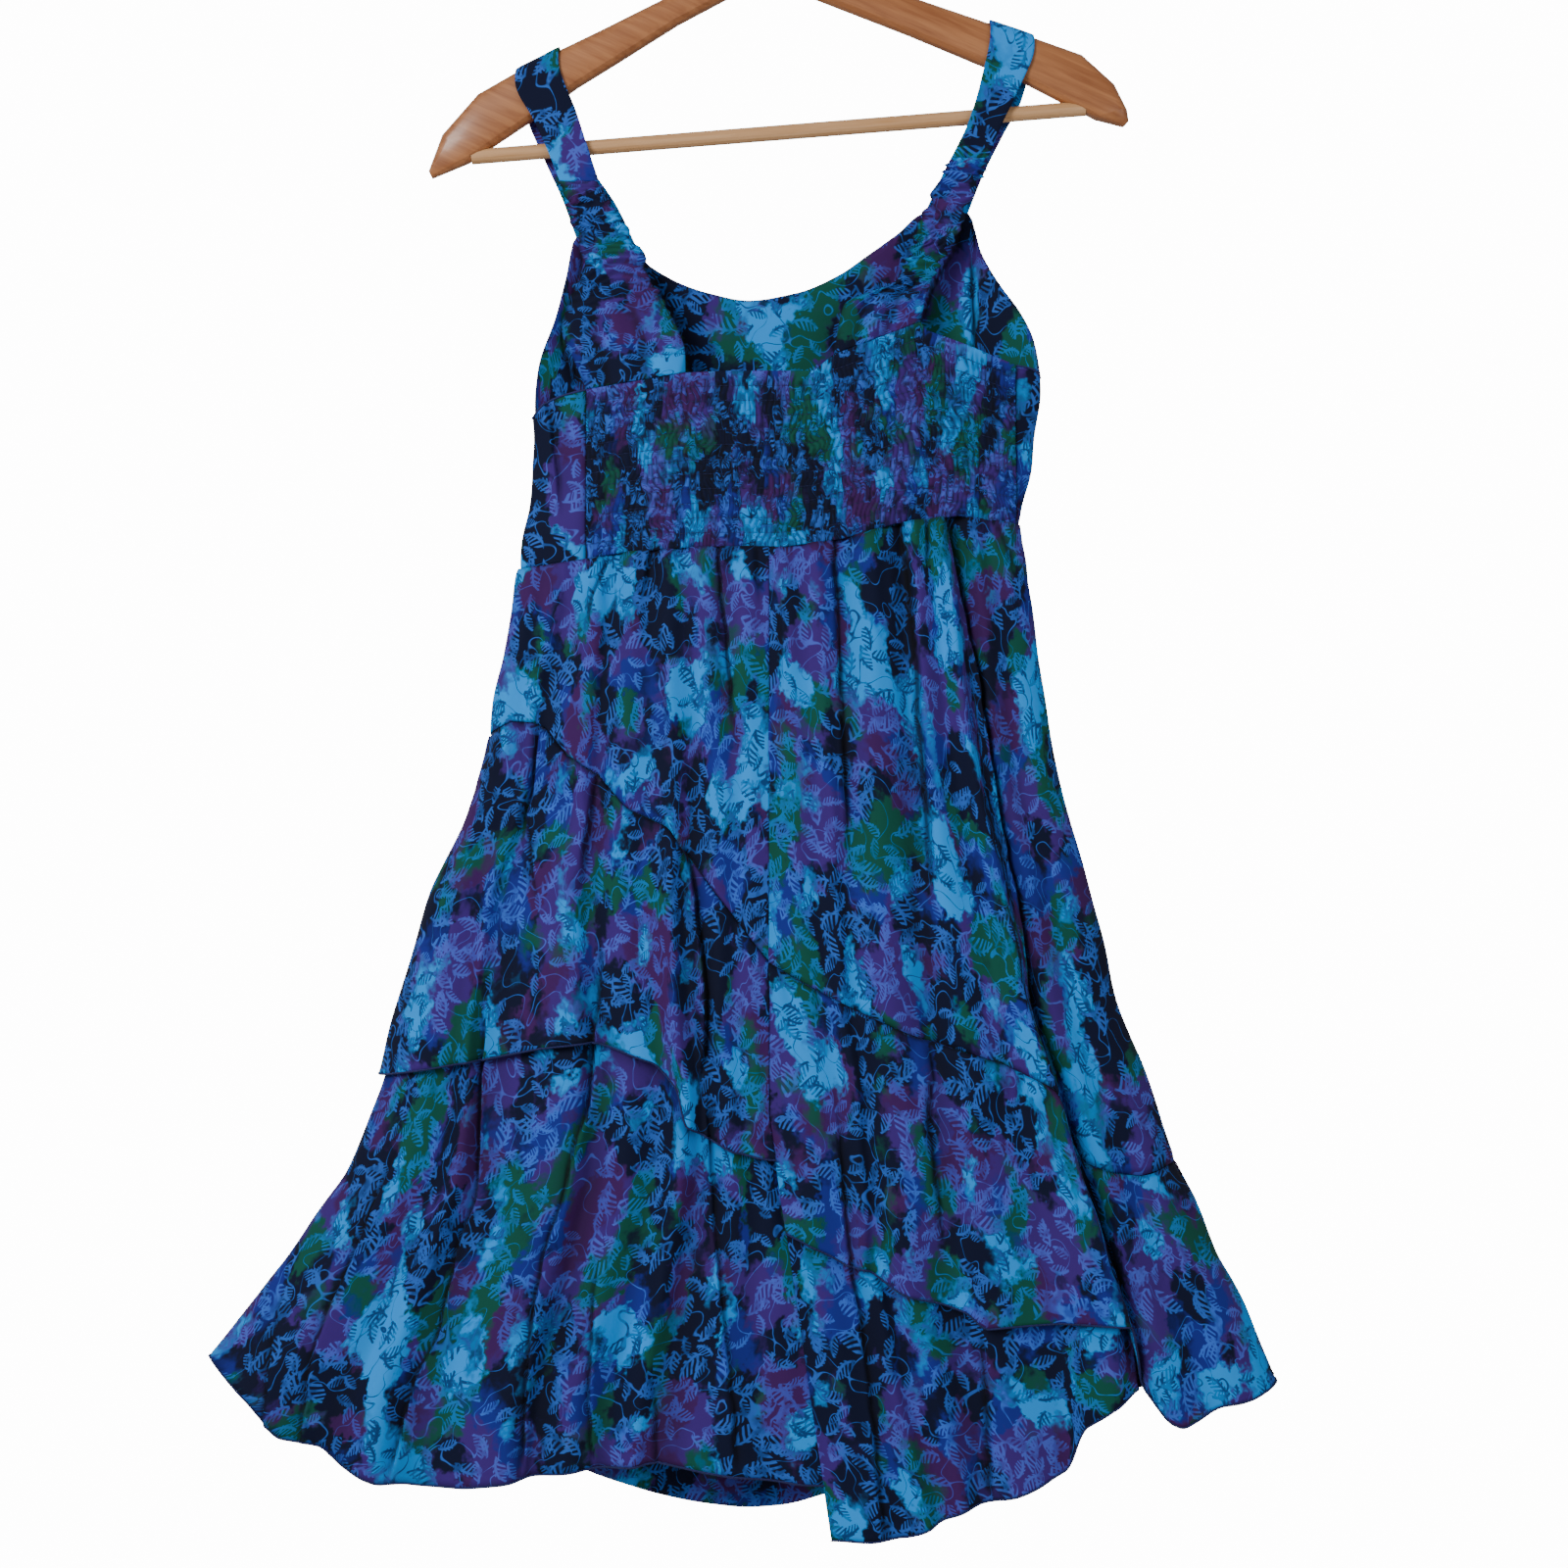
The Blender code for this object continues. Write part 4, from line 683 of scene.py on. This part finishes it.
# puckers are fullest half-way between two rows of elastic, and shift sideways from row to row
puff = np.sin(np.pi * (band - np.floor(band))) ** 0.7
drift = 1.3 * softNoise(x * 80 + 60, band * 1.1, 71) + 0.5 * softNoise(x * 25 + 60, band * 0.3, 72)
pucker = x / panel["gatherPitch"] + drift
ridge = np.abs(np.sin(np.pi * pucker)) ** 0.6
uneven = 0.75 + 0.35 * softNoise(x * 120 + 60, band * 1.3, 73)
smoothTop = eased((drop - topLine) / panel["smoothTop"])
gather = panel["gatherHeight"] * ridge * uneven * (0.35 + 0.65 * puff) * smoothTop
out = cloth["outside"] - panel["inset"] + gather
out = out + panel["uneven"] * softNoise(x * 30 + 60, drop * 20, 74) + panel["bandRise"] * (1 - smoothTop)
points = onForm(angleOf(x, drop, -1), drop, out)
# the print bunches up in every pucker
bunchX, bunchDrop = panel["printBunch"]
uv = np.stack([x * panel["fullness"] + 2.2 + bunchX * np.sin(2 * np.pi * pucker),
               -drop + 0.3 + bunchDrop * softNoise(x * 260 + 60, drop * 180, 76)], axis=-1)
# painted shade in the valleys between puckers and a little along the rows of elastic, then fine random
# speckles of painted shade over them
shade = (1 - ridge) * (0.95 + 0.6 * softNoise(x * 150 + 60, band * 1.7, 75)) + 0.12 * (1 - puff)
speckleShade = panel["speckleShade"] * np.clip(1.6 * softNoise(x * 450 + 60, drop * 260, 77) - 0.2, 0, 1)
shade = np.clip(np.maximum(shade, speckleShade), 0, 1) * smoothTop
gridSheet("back_panel", points, uv, shade, "cotton_blue")
elasticRows = [points[int(round(row / panel["rows"] * (down - 1))), ::2] + np.array([0, -0.00005, 0])
               for row in range(1, panel["rows"])]
print("back panel shirred")

# front bodice

bodice = {  # wraps, underarms, top and pleats in mm
    "wrapLeft": ((-106, 345), (-128, 351)), "underarmLeft": 362,
    "top": ((-137.5, 333), (-127, 298), (-120, 271), (-114, 245), (-92, 252.5), (-71, 260), (-60, 267),
        (-46, 274), (-31, 279), (-4, 284), (28, 279), (56, 267), (72, 256), (92, 242), (109, 229),
        (137, 229), (145, 254), (157, 275), (169, 292), (177, 308)),
    "pleats": [
        (-1, 2.6, 10, 12, 20, ((255, 137.2), (274, 138.4), (300, 140), (328, 140.6))),
        (1, 2, 10, 15, 20, ((270, -101), (300, -96), (335, -90))),
        (1, 1.6, 10, 15, 20, ((262, 85), (290, 80), (330, 76))),
        (-1, 1.6, 12, 15, 30, ((345, -133), (380, -127), (430, -122))),
        (1, 2.6, 10, 10, 10, ((245, -112.5), (258.6, -108.5), (282.3, -115.1), (306.7, -122),
            (345, -106.5))),
        (-1, 2.6, 10, 10, 10, ((250, -75.5), (258.6, -71), (282.3, -60.5), (306.7, -47.9), (334, -42.5))),
        (1, 1.2, 10, 10, 10, ((235, 107.5), (258.6, 98.5), (276, 89.5), (292.5, 56.5), (323.7, 50))),
        (-1, 2.6, 10, 10, 10, ((232, 133.5), (252, 126.5), (274, 114), (303, 106))),
    ],  # the last four are shade beside the edges of the two ears
    "underarmRight": 336, "wrapRight": ((177, 331), (166, 329)), "columns": 390, "rows": 46,
    "inset": 0.0006, "broad": 0.0008, "fine": 0.0003, "ripple": 0.0005,
    "sideDip": 0.0012, "sideDipReach": 0.003, "sideShadow": 0.0022, "sideShade": 0.9, "sideEase": 0.35,
}


def rimAngles(line, way=1, less=0.0):
    return [(way * float(angleOf(x / 1000, top / 1000, -1)) - less, top / 1000) for x, top in line]


# angles run down from the left wrap, round the front (below zero), to the right wrap
turns, tops = np.array(rimAngles(bodice["wrapLeft"]) + [(0.0, bodice["underarmLeft"] / 1000)]
                       + rimAngles(bodice["top"], -1) + [(-math.pi, bodice["underarmRight"] / 1000)]
                       + rimAngles(bodice["wrapRight"], 1, 2 * math.pi)).T
turn = np.linspace(turns[0], turns[-1], bodice["columns"])
onFront = (turn <= 0) & (turn >= -math.pi)
top = smoothCurve(-turns, tops, -turn)
low = np.full(len(turn), 0.445)
for _ in range(4):  # its low edge is found on the form step by step
    lowX = formX(turn, low)
    frontLow, backLow = (np.interp(lowX, *edgeLines["empire" + word].T) for word in ("Front", "Back"))
    low = np.where(onFront, frontLow, backLow) + cloth["seamLap"]
share = np.linspace(0, 1, bodice["rows"])[:, None]
drop = top + (low - top) * share
angle = np.broadcast_to(turn, drop.shape).copy()
# its side edges run straight down beside the panel
seamAway = tierFit["seamShare"]
for end, seamX, lap in ((0, panel["left"] - seamAway, 0.0), (-1, panel["right"] + seamAway, 2 * math.pi)):
    near = np.clip(1 - np.abs(turn - turn[end]) / bodice["sideEase"], 0, 1)
    angle += (angleOf(seamX, drop[:, end], -1) - lap - turn[end])[:, None] * near
x = formX(angle, drop)
out = cloth["outside"] - bodice["inset"] + bodice["broad"] * softNoise(x * 22 + 30, drop * 16, 81)
out = out + bodice["fine"] * softNoise(x * 60 + 30, drop * 40, 82)
out = out + bodice["ripple"] * np.sin((drop - 0.33) * 150 + x * 60) * eased((drop - 0.30) / 0.05)
out += seamDip(low - drop)
pleated, shade = pleatHeight(bodice["pleats"], x, drop)
out += np.where(onFront, -pleated, pleated)  # the far half shows its inside
# its side seams sink beside the shirring
besideSeam = np.minimum(np.abs(x - panel["left"]), np.abs(x - panel["right"])) + 9 * onFront
out -= bodice["sideDip"] * np.exp(-besideSeam / bodice["sideDipReach"])
shade = np.maximum(shade, bodice["sideShade"] * np.exp(-besideSeam / bodice["sideShadow"]))
points = onForm(angle, drop, out)
arc = np.concatenate([[0], np.cumsum(np.linalg.norm(np.diff(points[bodice["rows"] // 3], axis=0), axis=1))])
uv = np.stack([np.broadcast_to(3.3 - arc, drop.shape), -drop + 0.7], axis=-1)
gridSheet("front_bodice", points, uv, shade, "cotton_violet", True)
bodiceTopEdge = points[0]
print("front bodice cut")

# straps

# top of the hanger's arms: x, drop
armTable = np.array([
    (-207.5, 204), (-199, 181), (-176, 155), (-151.5, 141), (-124, 127), (-97, 114), (-59, 95), (5, 62),
    (106, 95), (150, 110), (178, 119), (209, 130), (230, 149), (238, 165), (239, 172),
]) / 1000
# each strap down its length: left x, left drop, right x, right drop, depth in mm; facing, share on the form
strapTables = {
    "leftBack": ((-123, 213, -98, 213, -8.2, -90, 0), (-130, 195, -104, 195, -7.8, -90, 0),
        (-139, 175, -112, 170, -7.5, -90, 0)),
    "leftFront": ((-146, 168, -119, 156, 7.5, 90, 0), (-134, 196, -106, 196, 8.2, 90, 0.1),
        (-123, 220, -88, 224, 9.2, 90, 0.4), (-114, 244.7, -71, 259.7, 10, 90, 1)),
    "rightBack": ((125, 198, 148.5, 198, -8.2, -90, 0), (136, 175, 158, 175, -7.8, -90, 0),
        (144, 148, 169, 152, -7.5, -90, 0)),
    "rightFront": ((146, 151, 172, 155, 7.5, 90, 0), (135, 176, 160, 178, 8, 90, 0.1),
        (121, 203, 147, 204, 9, 90, 0.4), (109, 228.7, 137, 228.7, 10, 90, 1)),
    "leftEar": ((-123, 213.3, -98, 213.3, -8.2, -90, 0), (-118, 229, -89, 229, -8.6, -90, 0.1),
        (-113.4, 242, -81.5, 242, -9, -90, 0.2), (-108, 258.6, -71.5, 258.6, -9.5, -90, 0.4),
        (-114.6, 282.3, -61, 282.3, -9.5, -90, 0.7), (-121.5, 306.7, -48.4, 306.7, -9.5, -90, 0.9),
        (-113.4, 327, -43.4, 322, -9.5, -90, 1), (-106, 344.7, -43, 334.7, -9.5, -90, 1)),
    "rightEar": ((125, 198.3, 148.5, 198.3, -8.2, -90, 0), (119, 210.4, 144, 210.4, -8.5, -90, 0.1),
        (110, 229, 134.7, 229, -9, -90, 0.2), (105, 242, 130, 242, -9.5, -90, 0.4),
        (99, 258.6, 121, 258.6, -10, -90, 0.7), (90, 276, 113, 276, -10, -90, 0.9),
        (57, 292.5, 110, 283, -10, -90, 1), (50.5, 323.7, 105, 302.7, -10, -90, 1)),
}
strapTables = {name: np.array(rows) / ((1000,) * 5 + (1, 1)) for name, rows in strapTables.items()}
straps = {
    "halfArm": 0.0065, "clearance": 0.0007, "thickness": 0.0016, "cell": 0.0012,
    "leftOver": (-0.1515, -0.1240), "rightOver": (0.1500, 0.1780),  # where they lie over the arms
    "ruchePitch": 0.0058, "rucheHeight": 0.0022, "scallop": 0.0022,
    "ruchedFor": 0.5, "fadeOver": 0.25,  # shares of the length; the flared end is almost smooth
    "fanHeight": 0.0016, "fans": 2.6,
    "rucheUneven": 0.0009, "plainUneven": 0.00035, "edgeRound": 0.0004,
    "ruchedUv": (1.3, 1.6),
}


def overArm(left, right):
    # a strap's sections where it lies over the hanger's arm
    topLeft, topRight = np.interp((left, right), *armTable.T)
    slope = math.atan2(topRight - topLeft, right - left)
    reach = straps["halfArm"] + straps["clearance"]
    rows = []
    for facing in np.linspace(-90, 90, 13):
        lower = (straps["halfArm"] - math.cos(math.radians(facing)) * reach) / math.cos(slope)
        depth = math.sin(math.radians(facing)) * reach
        rows.append((left, topLeft + lower, right, topRight + lower, depth, facing, 0))
    return rows


def strapSheet(name, table, ruched, slotName, shift):
    centreX, centreDrop = (table[:, 0] + table[:, 2]) / 2, (table[:, 1] + table[:, 3]) / 2
    middle = np.stack([centreX, table[:, 4], -centreDrop], axis=-1)
    lengths = np.concatenate([[0], np.cumsum(np.linalg.norm(np.diff(middle, axis=0), axis=1))])
    count = int(lengths[-1] / straps["cell"])
    along = np.linspace(0, lengths[-1], count)[:, None]
    rows = np.concatenate([smoothCurve(lengths, table[:, k], along) for k in range(7)], axis=1)
    acrossCount = int(max(table[:, 2] - table[:, 0]) / straps["cell"]) + 2
    t = np.linspace(0, 1, acrossCount)[None, :]
    leftX, rightX = rows[:, :1].copy(), rows[:, 2:3].copy()
    height = np.full((count, acrossCount), straps["thickness"])
    shade = np.zeros((count, acrossCount))
    if ruched:
        gone = 1 - eased((along / lengths[-1] - straps["ruchedFor"]) / straps["fadeOver"])
        drift = 1.6 * softNoise(along * 75 + 20, t * 1.7, shift * 10 + 3)
        wave = np.sin(2 * np.pi * (along / straps["ruchePitch"] + drift))
        bulge = 0.55 + 0.45 * np.sin(np.pi * t)  # fullest along the middle
        height = height + straps["rucheHeight"] * (0.5 + 0.5 * wave) * gone * bulge
        height = height + straps["rucheUneven"] * softNoise(along * 70, t * 3 + 9, shift * 10 + 5)
        edgeShade = 0.8 * np.exp(-np.minimum(t, 1 - t) / 0.05) * (0.7 + 0.3 * gone)
        shade = np.clip(-wave, 0, 1) * 0.5 * gone + edgeShade
        edgeWave = np.sin(2 * np.pi * (along / (2 * straps["ruchePitch"]) + drift[:, :1]))
        leftX -= straps["scallop"] * edgeWave * gone
        rightX += straps["scallop"] * np.roll(edgeWave, 3, axis=0) * gone
        # soft folds fan out below the elastic
        fan = np.sin(2 * np.pi * (t * straps["fans"] + 0.35 * softNoise(along * 20, t * 0, 6)))
        height = height + straps["fanHeight"] * fan * (1 - gone) * np.sin(np.pi * t)
        shade = np.maximum(shade, 0.6 * (1 - gone) * np.clip(-fan, 0, 1) ** 3)
    else:
        height = height - straps["edgeRound"] * (2 * t - 1) ** 8
        height = height + straps["plainUneven"] * softNoise(along * 45, t * 2 + 5, shift * 10 + 4)
    x = leftX + (rightX - leftX) * t
    drop = rows[:, 1:2] + (rows[:, 3:4] - rows[:, 1:2]) * t
    facing = np.radians(rows[:, 5:6])
    flat = np.stack([x, rows[:, 4:5] + np.sin(facing) * height, -drop + np.cos(facing) * height], axis=-1)
    angle = np.where(np.sin(facing) < 0, angleOf(x, drop, -1), angleOf(x, drop, 1))
    points = flat + (onForm(angle, drop, height) - flat) * rows[:, 6][:, None, None]
    uvAcross, uvDown = straps["ruchedUv"] if ruched else (1.0, 1.0)
    uv = np.stack([x * uvAcross + shift, -along * uvDown + 0 * x + shift], axis=-1)
    gridSheet(name, points, uv, shade, slotName, not ruched)


for sideName, slotName, shift in (("left", "cotton_violet", 4.1), ("right", "cotton_teal", 5.2)):
    table = np.concatenate([strapTables[sideName + "Back"], overArm(*straps[sideName + "Over"]),
                            strapTables[sideName + "Front"]])
    strapSheet("front_strap_" + sideName, table, False, slotName, shift)
strapSheet("back_strap_left", strapTables["leftEar"], True, "cotton_blue", 6.3)
strapSheet("back_strap_right", strapTables["rightEar"], True, "cotton_teal", 7.4)
print("straps sewn")

# hanger

hanger = {
    "wood": "#C27E4C", "grain": "#9C5B2E", "bar": "#E6B482", "barGrain": "#D39C66",
    "wire": "#CCCCD0", "dullWire": "#B0B0B6",
    "armSlope": -24, "barSlope": 4.5,  # degrees, for the grain
    "edgeRadius": 0.0022,
}


def woodMaterial(name, pale, dark, slope, scale, coat):
    # clear-varnished beech or plain turned pine: long fine grain along the piece
    made, tree, shader = plainMaterial(name, 0.42)
    place = addNode(tree, "TexCoord").outputs["Object"]
    turned = addNode(tree, "VectorRotate", {"Vector": place, "Angle": math.radians(slope)},
                     rotation_type="Y_AXIS")
    longer = addNode(tree, "VectorMath", {0: turned, 1: (0.06, 1.0, 1.0)}, operation="MULTIPLY")
    grain = addNode(tree, "TexNoise", {"Vector": longer, "Scale": scale, "Detail": 5.0, "Roughness": 0.6,
                                                 "Distortion": 0.3})
    share = addNode(tree, "MapRange", {0: grain, 1: 0.35, 2: 0.68})
    mixed = addNode(tree, "Mix", {0: share, 6: linear(pale), 7: linear(dark)}, data_type="RGBA")
    feed(shader, {"Base Color": mixed.outputs[2], "Coat Weight": coat, "Coat Roughness": 0.18})
    return made


def mottledMaterial(name, pale, dark, scale, roughness, metallic=0.0):
    made, tree, shader = plainMaterial(name, roughness)
    place = addNode(tree, "TexCoord").outputs["Object"]
    spots = addNode(tree, "TexNoise", {"Vector": place, "Scale": scale, "Detail": 2.0})
    mixed = addNode(tree, "Mix", {0: spots, 6: linear(pale), 7: linear(dark)}, data_type="RGBA")
    feed(shader, {"Base Color": mixed.outputs[2], "Metallic": metallic})
    return made


beech = woodMaterial("clear_varnished_beech", hanger["wood"], hanger["grain"], hanger["armSlope"], 260.0, 0.5)
pine = woodMaterial("turned_pine", hanger["bar"], hanger["barGrain"], hanger["barSlope"], 320.0, 0.1)
# bright plating, dulled in places
steel = mottledMaterial("plated_steel_wire", hanger["wire"], hanger["dullWire"], 90.0, 0.24, 1.0)
# the arms' edges are sanded round
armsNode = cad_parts["hanger_arms"]
sanded = armsNode.data.copy()
sanded.name = "hanger_arms_sanded"
solid = bmesh.new()
solid.from_mesh(sanded)
bmesh.ops.remove_doubles(solid, verts=solid.verts, dist=0.00001)
solid.to_mesh(sanded)
solid.free()
sanded.materials.clear()
sanded.materials.append(beech)
sanded.shade_smooth()
arms = newObject("hanger_arms_sanded", sanded)
arms.matrix_world = armsNode.matrix_world
rounding = arms.modifiers.new("sanded edges", "BEVEL")
rounding.width = hanger["edgeRadius"]
rounding.segments = 3
rounding.limit_method = "ANGLE"
rounding.angle_limit = math.radians(18)
rounding.harden_normals = True
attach(arms, "root")
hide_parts("hanger_arms")
for nodeName, made, slotName in (("hanger_bar", pine, "pine"), ("hanger_hook", steel, "steel")):
    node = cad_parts[nodeName]
    node.data.materials.clear()
    node.data.materials.append(made)
print("hanger varnished")

# hems and stitches, made along paths by geometry nodes

hems = {
    "radius": 0.0007, "stitchSpacing": 0.0026, "stitchLength": 0.0016, "stitchRadius": 0.00022,
    "wobble": 0.00012, "elasticRadius": 0.00008,
    "pale": "#232C74", "dark": "#131944", "threadPale": "#1C2460", "threadDark": "#10153C",
}


def threadTree():
    # a rolled hem along each path, with one stitch after another over it
    tree = bpy.data.node_groups.new("rolled hem and stitches", "GeometryNodeTree")
    sizes = [(name, "Float") for name in ("Hem radius", "Stitch spacing", "Stitch length", "Stitch radius",
                                          "Stitch rise")]
    others = [("Seed", "Int"), ("Hem", "Material"), ("Thread", "Material")]
    source = addSockets(tree, [("Path", "Geometry")] + sizes + others, "Geometry", "Geometry")
    path = addNode(tree, "GeometryNodeMeshToCurve", {0: source["Path"]})
    ring = addNode(tree, "GeometryNodeCurvePrimitiveCircle", {"Radius": source["Hem radius"],
                                                              "Resolution": 6})
    roll = addNode(tree, "GeometryNodeCurveToMesh", {"Curve": path, "Profile Curve": ring, "Fill Caps": True})
    rollMade = addNode(tree, "GeometryNodeSetMaterial", {"Geometry": roll, "Material": source["Hem"]})
    spots = addNode(tree, "GeometryNodeCurveToPoints", {"Curve": path, "Length": source["Stitch spacing"]},
                    mode="LENGTH")
    wobble = addNode(tree, "FunctionNodeRandomValue", {2: -hems["wobble"], 3: hems["wobble"],
                                                       "Seed": source["Seed"]}, data_type="FLOAT")
    lift = addNode(tree, "Math", {0: wobble.outputs[1], 1: source["Stitch rise"]}, operation="SUBTRACT")
    raised = addNode(tree, "CombineXYZ", {1: lift})
    placed = addNode(tree, "GeometryNodeSetPosition", {"Geometry": spots.outputs["Points"], "Offset": raised})
    stitch = addNode(tree, "GeometryNodeMeshCylinder", {"Vertices": 5, "Radius": source["Stitch radius"],
                                                        "Depth": source["Stitch length"]}, fill_type="NGON")
    copies = addNode(tree, "GeometryNodeInstanceOnPoints", {"Points": placed, "Instance": stitch,
                                                            "Rotation": spots.outputs["Rotation"]})
    real = addNode(tree, "GeometryNodeRealizeInstances", {0: copies})
    threadMade = addNode(tree, "GeometryNodeSetMaterial", {"Geometry": real, "Material": source["Thread"]})
    both = addNode(tree, "GeometryNodeJoinGeometry", {0: rollMade})
    feed(both, {0: threadMade})
    addNode(tree, "NodeGroupOutput", {0: both})
    return tree


# the same cotton rolled tight, so its dye looks darker; and spun thread, which shines a little more
hemCloth = mottledMaterial("rolled_hem_cotton", hems["pale"], hems["dark"], 120.0, 0.8)
thread = mottledMaterial("spun_polyester_thread", hems["threadPale"], hems["threadDark"], 300.0, 0.55)
sewing = threadTree()


def sewPaths(name, paths, hemRadius, seed, side=1, spacing=hems["stitchSpacing"]):
    # the tree runs on bare edges; what it makes is kept as a plain mesh
    points, edges = [], []
    for path in paths:
        start = len(points)
        points += [tuple(p) for p in path]
        edges += [(start + i, start + i + 1) for i in range(len(path) - 1)]
    mesh = bpy.data.meshes.new(name + "_path")
    mesh.from_pydata(points, edges, [])
    helper = newObject(name + "_path", mesh)
    sewn = helper.modifiers.new("sewing", "NODES")
    sewn.node_group = sewing
    settings = {"Hem radius": hemRadius, "Stitch spacing": spacing, "Stitch length": hems["stitchLength"],
                "Stitch radius": hems["stitchRadius"], "Stitch rise": hemRadius * side, "Seed": seed,
                "Hem": hemCloth, "Thread": thread}
    for item in sewing.interface.items_tree:
        if item.in_out == "INPUT" and item.name in settings:
            sewn[item.identifier] = settings[item.name]
    graph = bpy.context.evaluated_depsgraph_get()
    made = bpy.data.meshes.new_from_object(helper.evaluated_get(graph))
    bpy.data.objects.remove(helper)
    obj = newObject(name, made)
    made.shade_smooth()
    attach(obj, "root")
    return obj


hemmed = [name for name in pieces if name.startswith(("upper_flounce", "lower_tier"))]
hemPieces = {name: sewPaths(name + "_hem", [pieces[name][1][-1]], hems["radius"], seed,
                            -1 if "front" in name else 1) for seed, name in enumerate(hemmed, 7)}
hemPieces["front_bodice"] = sewPaths("front_bodice_binding", [bodiceTopEdge[::2]],
                                     hems["radius"], 31, -1)
hemPieces["back_panel"] = sewPaths("back_panel_elastic", elasticRows,
                                   hems["elasticRadius"], 37, 1, panel["gatherPitch"])
print("hems and elastic rows sewn")

print("all cloth sheets made")

# room, lights and camera

studio = {
    "camera": (0.0191, -1.45, -0.5948), "lens": 52.2, "wall": "#E4E4E4", "wallAway": 5.0, "floor": -3.30,
    "wallWide": 9.0, "wallHigh": 6.0, "world": 0.30, "glow": 14.0, "aim": (0.0, 0.0, -0.6),
    # each light: place, size, power
    "key": ((-1.3, -1.9, 0.2), 0.9, 35.0), "fill": ((1.5, -2.0, -0.4), 1.6, 9.0),
    "rear": ((-1.9, 2.1, 0.8), 1.2, 16.0),
}


def plane(name, corners, made):
    mesh = bpy.data.meshes.new(name)
    mesh.from_pydata(corners, [], [(0, 1, 2, 3)])
    mesh.materials.append(made)
    obj = newObject(name, mesh)
    return obj


paper, _, paperShader = plainMaterial("matt_paper_backdrop", 0.95)
glowing, _, glowShader = plainMaterial("lit_paper_backdrop", 0.95)  # lit from behind, as catalogue photos are
feed(paperShader, {"Base Color": linear(studio["wall"])})
feed(glowShader, {"Base Color": linear(studio["wall"]), "Emission Color": (1, 1, 1, 1),
                  "Emission Strength": studio["glow"]})
wallY, floorZ, wide, high = (studio[key] for key in ("wallAway", "floor", "wallWide", "wallHigh"))
foot = [(-wide, wallY, floorZ), (wide, wallY, floorZ)]
backdrop = plane("backdrop", foot + [(wide, wallY, high), (-wide, wallY, high)], glowing)
backdrop.visible_diffuse = False  # it looks white without lighting the far side of the dress
backdrop.visible_glossy = False
plane("floor", foot[:1] + [(-wide, -wide, floorZ), (wide, -wide, floorZ)] + foot[1:], paper)

for name in ("key", "fill", "rear"):
    place, size, power = studio[name]
    light = bpy.data.lights.new(name, "AREA")
    light.shape = "SQUARE"
    light.size = size
    light.energy = power
    lamp = newObject(name, light)
    lamp.location = place
    lamp.rotation_euler = (Vector(studio["aim"]) - Vector(place)).to_track_quat("-Z", "Y").to_euler()
world = bpy.data.worlds.new("studio")
bpy.context.scene.world = world
world.use_nodes = True
feed(world.node_tree.nodes["Background"], {0: (1, 1, 1, 1), 1: studio["world"]})

camera = bpy.data.cameras.new("camera")
camera.lens = studio["lens"]
camera.sensor_width = 36.0
cameraObject = newObject("camera", camera)
cameraObject.location = studio["camera"]
cameraObject.rotation_euler = (math.radians(90), 0, 0)
bpy.context.scene.camera = cameraObject
